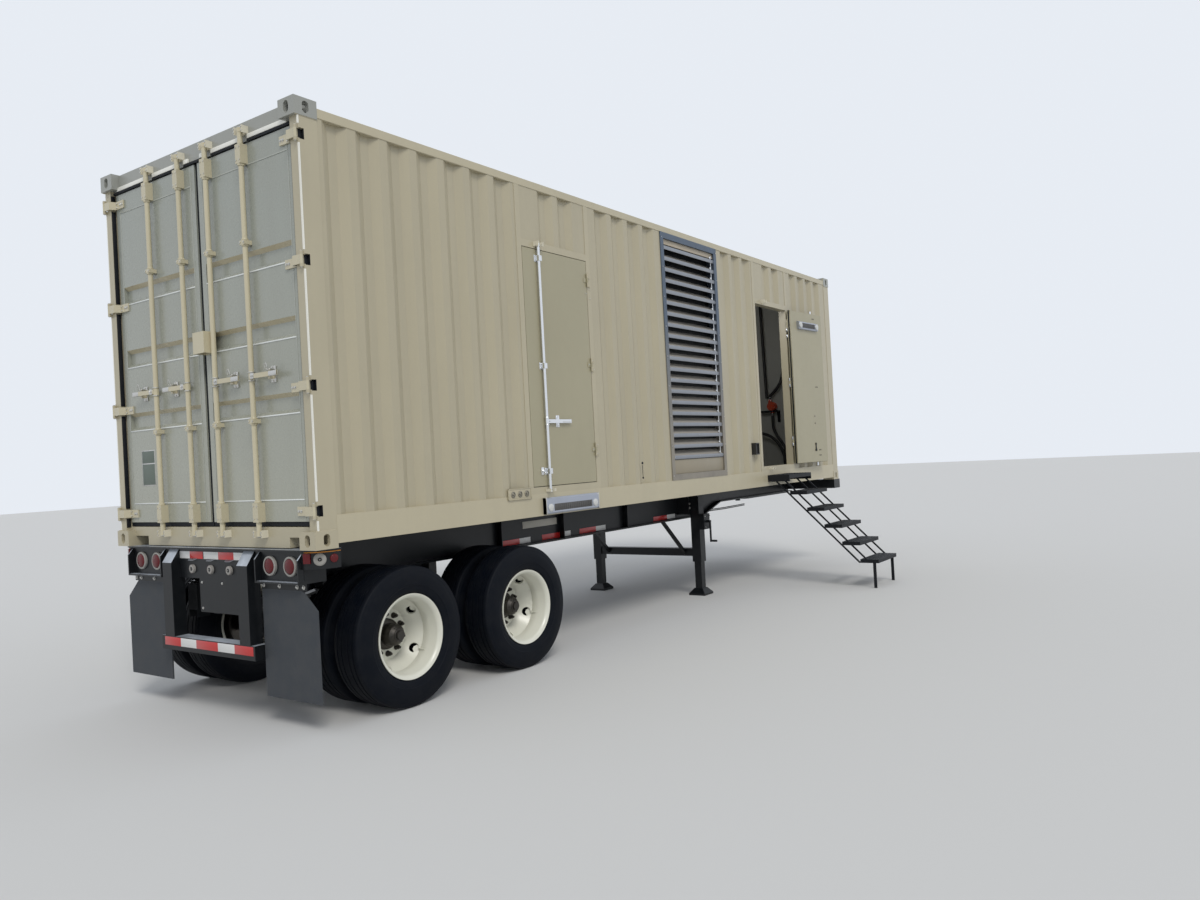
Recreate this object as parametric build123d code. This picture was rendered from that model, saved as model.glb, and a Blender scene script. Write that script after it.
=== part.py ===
from build123d import *
import os
from math import atan2, cos, degrees, pi, radians, sin, sqrt, tan

# Containerised diesel generator on its skeletal road chassis.
# X runs along the container from its cargo doors (low X) to its front end, the side with
# the personnel doors faces low Y, and Z is up from the ground. The origin is on the ground,
# on the centreline, under the middle of the container. All sizes are in millimetres.

# Container shell
container_length = 9125
container_width = 2438
container_height = 2896
deck_height = 1185
casting_length = 178
casting_width = 162
casting_height = 118
casting_wall = 28
casting_hole_length = 79.5
casting_hole_width = 51
casting_lock_length = 124.5
casting_lock_width = 63.5
post_inset = 6
post_width = 80
rail_inset = 5
rail_width = 60
top_rail_height = 60
top_rail_drop = 42
bottom_rail_low = 30
bottom_rail_height = 184
wall_inset = 10
wall_thickness = 90
corrugation_depth = 36
corrugation_slope = 68
corrugation_valley = 70
corrugation_pitch = 278
first_corrugation = 218
roof_thickness = 30
roof_rib_depth = 12
roof_rib_width = 140
roof_rib_pitch = 420
floor_top = 205
floor_thickness = 40
joist_width = 60
joist_pitch = 610

# Cargo doors at the rear
door_recess = 60
header_drop = 6
header_height = 133
header_depth = 118
sill_height = 139
sill_low = 6
notch_width = 182
notch_height = 70
leaf_thickness = 50
leaf_gap = 25
leaf_seam_gap = 40
leaf_low_gap = 35
leaf_high_gap = 15
groove_height = 136
groove_floor = 84
groove_depth = 30
groove_end_margin = 55
groove_heights = (1943, 1450, 958)
gasket_width = 20
gasket_low_width = 30
gasket_high_width = 12
gasket_seam_width = 14
gasket_depth = 30
gasket_setback = 12
hinge_heights = (2660, 1853, 1051, 248)
hinge_strap_height = 60
hinge_lug_height = 20
hinge_axial_gap = 0.3
hinge_knuckle_radius = 11
hinge_pin_radius = 6
hinge_pin_clearance = 0.1
hinge_pin_setback = 12
hinge_pin_inset = 16
hinge_strap_thickness = 12
hinge_post_setback = 28
hinge_notch_length = 46
hinge_notch_depth = 24
hinge_notch_margin = 6

# Locking rods of the cargo doors
rod_offsets = (600, 175)
rod_radius = 18
rod_standoff = 36
rod_bore_clearance = 0.4
rod_low = 85
rod_high = 2840
cam_radius = 20
cam_height = 30
cam_lobe = 12
keeper_gap = 12
keeper_thickness = 8
keeper_reach = 52
keeper_height = 50
sleeve_width = 58
sleeve_height = 130
sleeve_drop = 15
sleeve_front = 6
guide_height = 28
guide_heights = (2050, 845)
handle_height = 1160
handle_length = 300
handle_thickness = 10
handle_width = 32
hub_height = 60
catch_width = 24
catch_gap = 6
lock_box_width = 136
lock_box_height = 150
lock_box_depth = 95
lock_box_low = 1370
lock_box_wall = 6
lock_box_seam_gap = 14

# Personnel doors in the low Y side
side_leaf_width = 895
side_leaf_height = 2002
side_leaf_low = 278
side_leaf_thickness = 45
side_leaf_gap = 6
side_leaf_inset = 7
side_door_start = 2200
access_door_start = 6645
access_door_angle = 176
frame_width = 60
frame_depth = 94
side_hinge_margin = 232
side_hinge_middle = 1000
side_hinge_height = 120
side_knuckle_radius = 9
side_pin_radius = 4.5
side_pin_proud = 11
side_flap_length = 48
side_flap_thickness = 5
side_rod_inset = 190
side_rod_radius = 14
side_rod_standoff = 20
side_rod_overrun = 52
side_cam_radius = 16
side_keeper_plate = 2
side_bracket_margin = 100
side_bracket_middle = 990
side_bracket_height = 46
side_handle_height = 545
side_handle_length = 340
side_handle_thickness = 10
side_lamp_length = 560
side_lamp_height = 100
side_lamp_depth = 36
side_lamp_drop = 130
rail_lamp_start = 2300
rail_lamp_length = 767
rail_lamp_height = 138
rail_lamp_low = 40

# Louvre in each side
louvre_start = 4440
louvre_width = 1220
louvre_member = 62
louvre_depth = 100
louvre_blades = 20
louvre_panel_height = 150
blade_depth = 84
blade_drop = 92
blade_thickness = 6
blade_lip = 22

# Power socket and fuel transfer gear
socket_start = 6389
socket_low = 425
socket_width = 96
socket_height = 142
socket_depth = 34
socket_seat_gap = 0.3
pump_height = 1115
pump_offset = 321
pump_radius = 62
pump_length = 95
pump_neck_height = 102
pump_outlet_shift = 30
pump_shelf_width = 290
pump_shelf_thickness = 22
pump_bracket_leg_width = 44
pump_bracket_leg_height = 176
hose_radius = 21
hose_standoff = 75
hose_neck_radius = 27
hose_layer_gap = 63
delivery_rise = 50
delivery_bends = ((418, 260), (497, 385))
delivery_side = 538
delivery_turn = 620
suction_drop = 220
suction_bends = ((377, 440), (490, 598))
suction_side = 508
suction_turn = 760
return_bends = ((-110, 520), (149, 512), (295, 465), (431, 344))
return_turn = 160
riser_gap = 80
riser_lean = 31

# Chassis
beam_spacing = 1000
beam_depth = 285
beam_gap = 5
beam_width = 130
beam_flange = 14
beam_web = 12
gooseneck_depth = 150
gooseneck_start = 6250
gooseneck_end = 6700
cross_member_width = 90
cross_member_depth = 140
cross_member_drop = 60
bolster_length = 200
bolster_plate = 12
bolster_end_height = 126
bolster_face = 30
bolster_corner = 185
lamp_bar_half_width = 1050
lamp_bar_height = 210
lamp_guard_drop = 65
lamp_guard_rear = -17
front_bolster_length = 215
lock_post_width = 108
lock_post_front_height = 189
lock_post_back_height = 271
guard_post_gap = 55
guard_post_width = 120
guard_post_depth = 100
guard_rear = -36
guard_bar_gap = 7.5
guard_bar_height = 100
guard_bar_low = 440
guard_slant = 98
plate_panel_width = 560
plate_panel_height = 240
plate_panel_thickness = 6
lamp_bay_width = 470
flap_inner = lamp_bar_half_width - lamp_bay_width
guard_post_offset = flap_inner - guard_post_gap - guard_post_width / 2
guard_bar_width = 2 * (flap_inner - guard_bar_gap)
flap_outer = 1155
flap_top = 255
flap_bottom = 990
flap_thickness = 10
flap_chamfer_width = 145
flap_chamfer_height = 125
flap_bar_depth = 45
lamp_radius = 50
lamp_ring_radius = 65
lamp_end_margin = 132
lamp_spacing = 218
lamp_drop = 110
lamp_depth = 16
marker_radius = 30
marker_spacing = 229
marker_drop = 155

# Running gear
rear_axle = 783
axle_spacing = 1260
tyre_radius = 495
tyre_width = 262
rim_radius = 286
rim_width = 238
dual_spacing = 330
tyre_outer_inset = 4
bead_gap = 2
shoulder_drop = 32
rim_wall = 12
rim_lip_height = 14
rim_lip_width = 10
rim_bead_width = 28
disc_thickness = 11
disc_bore_radius = 112
disc_flat_radius = 186
disc_dish = 135
hub_clearance = 2
hand_hole_count = 5
hand_hole_radius = 36
hand_hole_circle = 236
hand_hole_starts = (38, 51)
drum_radius = 205
drum_length = 180
drum_wall = 15
hub_drum_gap = 40
hub_flange_radius = 165
hub_barrel_radius = 85
hub_inner_length = 235
hub_cap_length = 150
hub_cap_radius = 72
hub_cap_bevel = 24
axle_radius = 63.5
axle_end_gap = 0.5
spring_width = 75
spring_half_length = 560
spring_rise = 60
leaf_spring_thickness = 18
leaf_spring_lengths = (280, 420, 560)
spring_seat_height = 20
hanger_width = 120
hanger_wall = 10
hanger_length = 100
hanger_drop = 55
spring_hanger_gap = 0.5

# Landing gear
leg_position = 5794
leg_offset = 717
leg_housing_size = 115
leg_housing_wall = 8
leg_housing_low = 390
leg_housing_height = 760
leg_gap = 5.5
leg_guide_gap = 0.3
leg_guide_height = 40
leg_top = 790
foot_size = 210
foot_height = 80
foot_rim = 22
leg_tube_height = 500
leg_tube_size = 90
leg_bracket_length = 200
leg_bracket_height = 200
brace_run = 520
brace_width = 40
gear_case_width = 140
gear_case_depth = 70
gear_case_height = 180
crank_height = 861
crank_length = 240
crank_shaft_radius = 14
crank_reach = 50
crank_arm_width = 20
crank_arm_thickness = 16
crank_grip_length = 70
crank_grip_radius = 12

# Coupling to the tractor
coupler_start = 7450
coupler_length = 1400
coupler_thickness = 12
coupler_corner = 60
kingpin_position = 8300
kingpin_radius = 25.4
kingpin_collar_radius = 35.7
kingpin_collar_height = 14
kingpin_neck_length = 40
kingpin_foot_height = 20

# Stair at the open doorway
landing_start = 6735
landing_length = 685
landing_reach = 285
landing_thickness = 46
landing_top = 160
landing_cheek_height = 80
stair_hook_gap = 2
stair_bar_width = 12
stair_bar_height = 26
stair_bar_spacing = 118
stair_rise = 203
stair_run = 207
stair_treads = 5
tread_depth = 215
tread_thickness = 42
stair_leg_size = 34

# Places worked out from the sizes above
half_width = container_width / 2
rear_face = -container_length / 2
front_face = container_length / 2
roof_top = deck_height + container_height
rail_face = half_width - rail_inset
post_face = half_width - post_inset
wall_face = half_width - wall_inset
wall_back = wall_face - wall_thickness
side_start = rear_face + casting_length
side_end = front_face - casting_length
bottom_rail_top = deck_height + bottom_rail_low + bottom_rail_height
top_rail_low = roof_top - top_rail_drop - top_rail_height
header_low = roof_top - header_drop - header_height
sill_top = deck_height + sill_low + sill_height
door_face = rear_face + door_recess
beam_top = deck_height - beam_gap
side_hinge_heights = (
    side_leaf_height - side_hinge_margin, side_hinge_middle, side_hinge_margin)
side_bracket_heights = (
    side_leaf_height - side_bracket_margin, side_bracket_middle, side_bracket_margin)


def block(x_low, x_high, y_low, y_high, z_low, z_high):
    """A box between its lowest and highest corners."""
    middle = Pos((x_low + x_high) / 2, (y_low + y_high) / 2, (z_low + z_high) / 2)
    return middle * Box(x_high - x_low, y_high - y_low, z_high - z_low)


def prism_x(points, x_low, x_high):
    """A profile of (y, z) points run along X."""
    profile = Plane.YZ * Polygon(*points, align=None)
    return Pos(x_low, 0, 0) * extrude(profile, amount=x_high - x_low, dir=(1, 0, 0))


def prism_y(points, y_low, y_high):
    """A profile of (x, z) points run along Y."""
    profile = Plane.XZ * Polygon(*points, align=None)
    return Pos(0, y_low, 0) * extrude(profile, amount=y_high - y_low, dir=(0, 1, 0))


def prism_z(points, z_low, z_high):
    """A profile of (x, y) points run along Z."""
    profile = Plane.XY * Polygon(*points, align=None)
    return Pos(0, 0, z_low) * extrude(profile, amount=z_high - z_low, dir=(0, 0, 1))


def upright(x, y, radius, z_low, z_high):
    """A cylinder along Z."""
    return Pos(x, y, (z_low + z_high) / 2) * Cylinder(radius, z_high - z_low)


def lying_y(x, z, radius, y_low, y_high):
    """A cylinder along Y."""
    return Pos(x, (y_low + y_high) / 2, z) * Rot(90, 0, 0) * Cylinder(radius, y_high - y_low)


def lying_x(y, z, radius, x_low, x_high):
    """A cylinder along X."""
    return Pos((x_low + x_high) / 2, y, z) * Rot(0, 90, 0) * Cylinder(radius, x_high - x_low)


def other_side(shape):
    """The same shape on the other side of the centreline."""
    return mirror(shape, about=Plane.XZ)


def pair(shape):
    """A shape and its copy on the other side of the centreline."""
    return [shape, other_side(shape)]


def other_end(shape):
    """The same shape at the other end of the container."""
    return mirror(shape, about=Plane.YZ)


def save(name, *shapes):
    """Write one piece, or a set of like pieces, to its own file."""
    solids = [solid for shape in shapes for solid in shape.solids()]
    piece = solids[0] if len(solids) == 1 else Compound(solids)
    export_step(piece, f"parts/{name}.step")


# Container frame


def corner_casting(lower):
    """The casting at the rear, low Y corner: a hollow box with three slotted holes."""
    z_low = deck_height if lower else roof_top - casting_height
    z_high = z_low + casting_height
    middle_z = (z_low + z_high) / 2
    middle_x = rear_face + casting_length / 2
    middle_y = -half_width + casting_width / 2
    body = block(rear_face, side_start, -half_width, -half_width + casting_width, z_low, z_high)
    cavity = block(
        rear_face + casting_wall, side_start - casting_wall,
        -half_width + casting_wall, -half_width + casting_width - casting_wall,
        z_low + casting_wall, z_high - casting_wall,
    )
    hole = SlotOverall(casting_hole_length, casting_hole_width, rotation=90)
    end_hole = Pos(rear_face + casting_wall, middle_y, middle_z) * extrude(
        Plane.YZ * hole, amount=-casting_wall)
    side_hole = Pos(middle_x, -half_width + casting_wall, middle_z) * extrude(
        Plane.XZ * hole, amount=casting_wall)
    lock = SlotOverall(casting_lock_length, casting_lock_width)
    lock_z = z_low if lower else z_high - casting_wall
    lock_hole = Pos(middle_x, middle_y, lock_z) * extrude(Plane.XY * lock, amount=casting_wall)
    return body - cavity - end_hole - side_hole - lock_hole


def corner_castings():
    castings = []
    for lower in (True, False):
        for rear in pair(corner_casting(lower)):
            castings += [rear, other_end(rear)]
    return castings


def hinge_z(height):
    return deck_height + height


def hinge_pin_place():
    """X and Y of the cargo door hinge pins on the low Y side."""
    return rear_face + hinge_pin_setback, -half_width + hinge_pin_inset


def rear_post():
    """Rear corner post with a pair of lugs and a pin for each hinge."""
    pin_x, pin_y = hinge_pin_place()
    face = rear_face + hinge_post_setback
    outer = -post_face
    inner = outer + post_width
    post = block(face, side_start, outer, inner, deck_height + casting_height, roof_top - casting_height)
    half = hinge_strap_height / 2
    lug_low = half + hinge_axial_gap
    lug_high = lug_low + hinge_lug_height
    for height in hinge_heights:
        z = hinge_z(height)
        room = half + hinge_notch_margin
        post -= block(face, face + hinge_notch_length, outer, outer + hinge_notch_depth, z - room, z + room)
        for low, high in ((-lug_high, -lug_low), (lug_low, lug_high)):
            lug = upright(pin_x, pin_y, hinge_knuckle_radius, z + low, z + high)
            arm = block(
                pin_x, face + hinge_strap_thickness,
                pin_y - hinge_knuckle_radius / 2, pin_y + hinge_knuckle_radius, z + low, z + high)
            post += lug + arm
        post += upright(pin_x, pin_y, hinge_pin_radius, z - lug_high, z + lug_high)
    return post


def front_post():
    x_low = side_end
    x_high = front_face - post_inset
    outer = -post_face
    return block(
        x_low, x_high, outer, outer + post_width, deck_height + casting_height, roof_top - casting_height)


def door_header():
    """Beam over the cargo doors: between the top castings, and down to the door head."""
    between = half_width - casting_width
    inner = post_face - post_width
    x_high = door_face + header_depth
    beam = block(door_face, x_high, -between, between, header_low, roof_top - header_drop)
    return beam + block(door_face, x_high, -inner, inner, header_low, roof_top - casting_height)


def door_sill():
    """Beam under the cargo doors, notched beside each bottom casting."""
    between = half_width - casting_width
    inner = post_face - post_width
    x_high = side_start
    beam = block(door_face, x_high, -between, between, deck_height + sill_low, sill_top)
    beam += block(door_face, x_high, -inner, inner, deck_height + casting_height, sill_top)
    notch_top = deck_height + sill_low + notch_height
    for y_low in (-between, between - notch_width):
        beam -= block(door_face, x_high, y_low, y_low + notch_width, deck_height + sill_low, notch_top)
    return beam


def front_rails():
    between = half_width - casting_width
    inner = post_face - post_width
    x_high = front_face - post_inset
    top_low = roof_top - casting_height
    top = block(side_end, x_high, -between, between, top_low, roof_top - header_drop)
    low_top = deck_height + bottom_rail_low + bottom_rail_height
    bottom = block(side_end, x_high, -between, between, deck_height + bottom_rail_low, low_top)
    bottom += block(side_end, x_high, -inner, inner, deck_height + casting_height, low_top)
    return [top, bottom]


def side_rails():
    y_low = -rail_face
    y_high = y_low + rail_width
    top = block(side_start, side_end, y_low, y_high, top_rail_low, roof_top - top_rail_drop)
    bottom = block(side_start, side_end, y_low, y_high, deck_height + bottom_rail_low, bottom_rail_top)
    return pair(top) + pair(bottom)


def corrugations_between(x_low, x_high):
    """Where each corrugation starts that fits between two uprights."""
    length = 2 * corrugation_slope + corrugation_valley
    starts = []
    start = rear_face + first_corrugation
    while start + length < x_high:
        if start > x_low:
            starts.append(start)
        start += corrugation_pitch
    return starts


def corrugated_outline(starts, low, high, face, back):
    """Outline of a wall in plan, wavy on its face and flat on its back."""
    points = [(low, face)]
    inward = 1 if back > face else -1
    for start in starts:
        floor_start = start + corrugation_slope
        floor_end = floor_start + corrugation_valley
        valley = face + inward * corrugation_depth
        points += [(start, face), (floor_start, valley)]
        points += [(floor_end, valley), (floor_end + corrugation_slope, face)]
    return points + [(high, face), (high, back), (low, back)]


def side_wall(x_low, x_high, z_low, z_high):
    """A stretch of the low Y side wall between two uprights."""
    starts = corrugations_between(x_low, x_high)
    outline = corrugated_outline(starts, x_low, x_high, -wall_face, -wall_back)
    return prism_z(outline, z_low, z_high)


def along(distance):
    """X at a distance from the container's rear face."""
    return rear_face + distance


def opening_limits(start):
    """X limits of a personnel door's frame, outside."""
    outside = side_leaf_gap + frame_width
    return along(start) - outside, along(start) + side_leaf_width + outside


def near_walls():
    """Wall stretches beside and over the openings of the low Y side."""
    side_low, side_high = opening_limits(side_door_start)
    access_low, access_high = opening_limits(access_door_start)
    louvre_low = along(louvre_start)
    louvre_high = louvre_low + louvre_width
    full = (bottom_rail_top, top_rail_low)
    over = deck_height + side_leaf_low + side_leaf_height + side_leaf_gap + frame_width
    return [
        side_wall(side_start, side_low, *full),
        side_wall(side_high, louvre_low, *full),
        side_wall(louvre_high, access_low, *full),
        side_wall(access_high, side_end, *full),
        side_wall(side_low + frame_width, side_high - frame_width, over, top_rail_low),
        side_wall(access_low + frame_width, access_high - frame_width, over, top_rail_low),
    ]


def far_walls():
    """The high Y side wall, in front of and behind its louvre."""
    louvre_low = along(louvre_start)
    full = (bottom_rail_top, top_rail_low)
    rear = side_wall(side_start, louvre_low, *full)
    front = side_wall(louvre_low + louvre_width, side_end, *full)
    return [other_side(rear), other_side(front)]


def front_wall():
    """Corrugated front end between its posts and rails."""
    inner = post_face - post_width
    face = front_face - wall_inset
    back = face - wall_thickness
    length = 2 * corrugation_slope + corrugation_valley
    count = int((2 * inner - corrugation_valley) // corrugation_pitch)
    first = -((count - 1) * corrugation_pitch + length) / 2
    starts = [first + index * corrugation_pitch for index in range(count)]
    outline = corrugated_outline(starts, -inner, inner, face, back)
    points = [(x, y) for y, x in outline]
    return prism_z(points, bottom_rail_top, roof_top - casting_height)


def door_frame(start):
    """Two full-height posts with a sill and a lintel between them."""
    x_low, x_high = opening_limits(start)
    y_low = -post_face
    y_high = y_low + frame_depth
    leaf_low = deck_height + side_leaf_low
    leaf_high = leaf_low + side_leaf_height
    frame = block(x_low, x_low + frame_width, y_low, y_high, bottom_rail_top, top_rail_low)
    frame += block(x_high - frame_width, x_high, y_low, y_high, bottom_rail_top, top_rail_low)
    frame += block(x_low, x_high, y_low, y_high, bottom_rail_top, leaf_low - side_leaf_gap)
    head = leaf_high + side_leaf_gap
    frame += block(x_low, x_high, y_low, y_high, head, head + frame_width)
    return frame + frame_hinges(start)


def roof():
    """Roof sheet with shallow cross ribs."""
    top = roof_top - top_rail_drop
    low = top - roof_thickness
    points = [(side_start, low), (side_start, top)]
    start = side_start + roof_rib_pitch / 2
    while start + roof_rib_width < side_end - roof_rib_pitch / 4:
        points += [
            (start, top), (start + roof_rib_depth, top - roof_rib_depth),
            (start + roof_rib_width - roof_rib_depth, top - roof_rib_depth), (start + roof_rib_width, top),
        ]
        start += roof_rib_pitch
    points += [(side_end, top), (side_end, low)]
    edge = rail_face - rail_width
    return prism_y(points, -edge, edge)


def floor_deck():
    """Floor plate and its cross joists."""
    edge = rail_face - rail_width
    top = deck_height + floor_top
    low = top - floor_thickness
    deck = [block(side_start, side_end, -edge, edge, low, top)]
    x = side_start + joist_pitch / 2
    while x + joist_width < side_end:
        deck.append(block(x, x + joist_width, -edge, edge, deck_height + bottom_rail_low, low))
        x += joist_pitch
    return deck


# Louvres


def louvre_frame():
    """Aluminium frame of the low Y louvre, with its plain bottom panel."""
    x_low = along(louvre_start)
    x_high = x_low + louvre_width
    y_low = -half_width
    y_high = y_low + louvre_depth
    frame = block(x_low, x_high, y_low, y_high, bottom_rail_top, top_rail_low)
    frame -= block(
        x_low + louvre_member, x_high - louvre_member, y_low, y_high,
        bottom_rail_top + louvre_member, top_rail_low - louvre_member)
    panel_low = bottom_rail_top + louvre_member
    panel_y = y_low + louvre_depth / 5
    return frame + block(
        x_low + louvre_member, x_high - louvre_member, panel_y, panel_y + 2 * blade_thickness,
        panel_low, panel_low + louvre_panel_height)


def louvre_blade_set():
    """Weather blades between the frame's members, each folded down at its outer edge."""
    x_low = along(louvre_start) + louvre_member
    x_high = along(louvre_start) + louvre_width - louvre_member
    z_low = bottom_rail_top + louvre_member + louvre_panel_height
    z_high = top_rail_low - louvre_member
    pitch = (z_high - z_low) / louvre_blades
    y_out = -half_width + (louvre_depth - blade_depth) / 2
    y_in = y_out + blade_depth
    blades = []
    for index in range(louvre_blades):
        z = z_low + index * pitch + blade_thickness
        rise = min(blade_drop, pitch - 2 * blade_thickness)
        points = [
            (y_out, z), (y_out + blade_thickness, z), (y_out + blade_thickness, z + blade_lip),
            (y_in, z + rise - blade_thickness), (y_in, z + rise), (y_out, z + blade_lip + blade_thickness),
        ]
        blades.append(prism_x(points, x_low, x_high))
    return blades


# Cargo doors


def leaf_limits():
    """Y and Z limits of the low Y cargo door leaf."""
    y_low = -(post_face - post_width - leaf_gap)
    y_high = -leaf_seam_gap / 2
    return y_low, y_high, sill_top + leaf_low_gap, header_low - leaf_high_gap


def rod_x():
    return door_face - rod_standoff


def cargo_leaf():
    """The low Y leaf, with its grooves, hinge straps, rod sleeves and guides."""
    y_low, y_high, z_low, z_high = leaf_limits()
    leaf = block(door_face, door_face + leaf_thickness, y_low, y_high, z_low, z_high)
    for height in groove_heights:
        z = deck_height + height
        points = [
            (door_face, z - groove_height / 2), (door_face + groove_depth, z - groove_floor / 2),
            (door_face + groove_depth, z + groove_floor / 2), (door_face, z + groove_height / 2),
        ]
        leaf -= prism_y(points, y_low + groove_end_margin, y_high - groove_end_margin)
    for height in hinge_heights:
        leaf += hinge_strap(height)
    for offset in rod_offsets:
        leaf += rod_mounts(-offset, z_low, z_high)
    return leaf


def hinge_strap(height):
    """A cranked strap from the hinge pin to the leaf's face."""
    pin_x, pin_y = hinge_pin_place()
    leaf_y = leaf_limits()[0]
    near = pin_x - hinge_strap_thickness / 2
    far = pin_x + hinge_strap_thickness / 2
    bend = leaf_y - hinge_strap_thickness
    foot_end = leaf_y + 2 * hinge_strap_height
    points = [
        (near, pin_y), (near, bend), (door_face - hinge_strap_thickness, bend + 2 * hinge_strap_thickness),
        (door_face - hinge_strap_thickness, foot_end), (door_face, foot_end),
        (door_face, leaf_y), (far, bend - hinge_strap_thickness / 2), (far, pin_y),
    ]
    z = hinge_z(height)
    half = hinge_strap_height / 2
    strap = prism_z(points, z - half, z + half)
    strap += upright(pin_x, pin_y, hinge_knuckle_radius, z - half, z + half)
    bore = hinge_pin_radius + hinge_pin_clearance
    return strap - upright(pin_x, pin_y, bore, z - half, z + half)


def rod_mounts(y, z_low, z_high):
    """Sleeves at both ends of a rod, two guides, and the catch behind its handle."""
    front = door_face - rod_standoff - rod_radius - sleeve_front
    half = sleeve_width / 2
    sleeve_top = z_high - sleeve_drop
    mounts = block(front, door_face, y - half, y + half, sleeve_top - sleeve_height, sleeve_top)
    mounts += block(front, door_face, y - half, y + half, z_low, z_low + sleeve_height)
    for height in guide_heights:
        z = deck_height + height
        mounts += block(front, door_face, y - half, y + half, z, z + guide_height)
    bore = rod_radius + rod_bore_clearance
    mounts -= upright(rod_x(), y, bore, z_low, z_high)
    catch_y = y - handle_length * 2 / 3
    handle_back = door_face - rod_standoff - rod_radius + handle_thickness / 2
    z = deck_height + handle_height
    return mounts + block(
        handle_back + catch_gap, door_face, catch_y - catch_width / 2, catch_y + catch_width / 2,
        z - handle_width, z + handle_width)


def locking_rod(offset):
    """A door-height rod with a cam at each end and a handle towards the hinges."""
    x = rod_x()
    rod = upright(x, -offset, rod_radius, deck_height + rod_low, deck_height + rod_high)
    for z in (deck_height + rod_low, deck_height + rod_high - cam_height):
        cam = upright(x, -offset, cam_radius, z, z + cam_height)
        lobe = block(
            x - cam_lobe / 2, x + cam_lobe / 2, -offset - cam_radius - cam_lobe / 2,
            -offset + cam_radius + cam_lobe / 2, z, z + cam_height)
        rod += cam + lobe
    z = deck_height + handle_height
    rod += upright(x, -offset, cam_radius, z - hub_height / 2, z + hub_height / 2)
    front = x - rod_radius - handle_thickness / 2
    blade = block(
        front, front + handle_thickness, -offset - handle_length, -offset,
        z - handle_width / 2, z + handle_width / 2)
    return rod + blade


def rod_keepers():
    """Open-fronted keepers on the header and the sill, one at each rod end."""
    keepers = []
    reach = cam_radius + cam_lobe / 2 + keeper_gap
    for offset in rod_offsets:
        for middle in (rod_low + cam_height / 2, rod_high - cam_height / 2):
            z = deck_height + middle
            low = z - keeper_height / 2
            high = z + keeper_height / 2
            plate = block(
                door_face - keeper_thickness / 2, door_face, -offset - reach - keeper_thickness,
                -offset + reach + keeper_thickness, low, high)
            for side in (-1, 1):
                inner = -offset + side * reach
                outer = inner + side * keeper_thickness
                plate += block(
                    door_face - keeper_reach, door_face, min(inner, outer), max(inner, outer), low, high)
            keepers += pair(plate)
    return keepers


def door_gasket():
    """Rubber seal round the low Y leaf, in the gap to the posts, header, sill and seam."""
    y_low, y_high, z_low, z_high = leaf_limits()
    x_low = door_face + gasket_setback
    x_high = x_low + gasket_depth
    outer = block(
        x_low, x_high, y_low - gasket_width, y_high + gasket_seam_width,
        z_low - gasket_low_width, z_high + gasket_high_width)
    return outer - block(x_low, x_high, y_low, y_high, z_low, z_high)


def lock_box():
    """Padlock box on the low Y leaf at the seam, open underneath."""
    y_high = -lock_box_seam_gap
    y_low = y_high - lock_box_width
    z_low = deck_height + lock_box_low
    z_high = z_low + lock_box_height
    x_low = door_face - lock_box_depth
    box = block(x_low, door_face, y_low, y_high, z_low, z_high)
    wall = lock_box_wall
    return box - block(
        x_low + wall, door_face - wall, y_low + wall, y_high - wall, z_low, z_high - wall)


# Personnel doors


def side_pin_place(start):
    """X and Y of a personnel door's hinge pins."""
    return along(start) + side_leaf_width + side_leaf_gap / 2, -post_face - side_pin_proud


def frame_hinges(start):
    """Upper and lower knuckles with their pins, and the flaps screwed to the frame."""
    pin_x, pin_y = side_pin_place(start)
    third = side_hinge_height / 3
    parts = []
    for height in side_hinge_heights:
        z = deck_height + side_leaf_low + height
        parts.append(upright(pin_x, pin_y, side_knuckle_radius, z, z + third - hinge_axial_gap))
        top = z + side_hinge_height
        parts.append(upright(pin_x, pin_y, side_knuckle_radius, top - third + hinge_axial_gap, top))
        parts.append(upright(pin_x, pin_y, side_pin_radius, z, top))
        for low, high in ((z, z + third - hinge_axial_gap), (top - third + hinge_axial_gap, top)):
            parts.append(block(
                pin_x, pin_x + side_flap_length, -post_face - side_flap_thickness, -post_face, low, high))
    return parts


def side_leaf(start):
    """A flush flat leaf with the middle knuckle of each hinge."""
    x_low = along(start)
    x_high = x_low + side_leaf_width
    y_low = -half_width + side_leaf_inset
    z_low = deck_height + side_leaf_low
    z_high = z_low + side_leaf_height
    leaf = block(x_low, x_high, y_low, y_low + side_leaf_thickness, z_low, z_high)
    pin_x, pin_y = side_pin_place(start)
    third = side_hinge_height / 3
    for height in side_hinge_heights:
        low = z_low + height + third
        high = low + third
        leaf += upright(pin_x, pin_y, side_knuckle_radius, low, high)
        leaf += block(pin_x - side_flap_length, pin_x, y_low - side_flap_thickness, y_low, low, high)
        leaf -= upright(pin_x, pin_y, side_pin_radius + hinge_pin_clearance, low, high)
    return leaf


def side_rod_place(start):
    """X and Y of a personnel door's locking rod."""
    return along(start) + side_rod_inset, -half_width + side_leaf_inset - side_rod_standoff


def side_rod(start):
    """Bright locking rod with its cams, hub and handle."""
    x, y = side_rod_place(start)
    low = deck_height + side_leaf_low - side_rod_overrun
    high = deck_height + side_leaf_low + side_leaf_height + side_rod_overrun
    rod = upright(x, y, side_rod_radius, low, high)
    for z in (low, high - cam_height):
        rod += upright(x, y, side_cam_radius, z, z + cam_height)
    z = deck_height + side_leaf_low + side_handle_height
    rod += upright(x, y, side_cam_radius, z - hub_height / 2, z + hub_height / 2)
    half = side_handle_thickness / 2
    rod += block(
        x, x + side_handle_length, y - half, y + half, z - handle_width / 2, z + handle_width / 2)
    return rod


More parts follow.
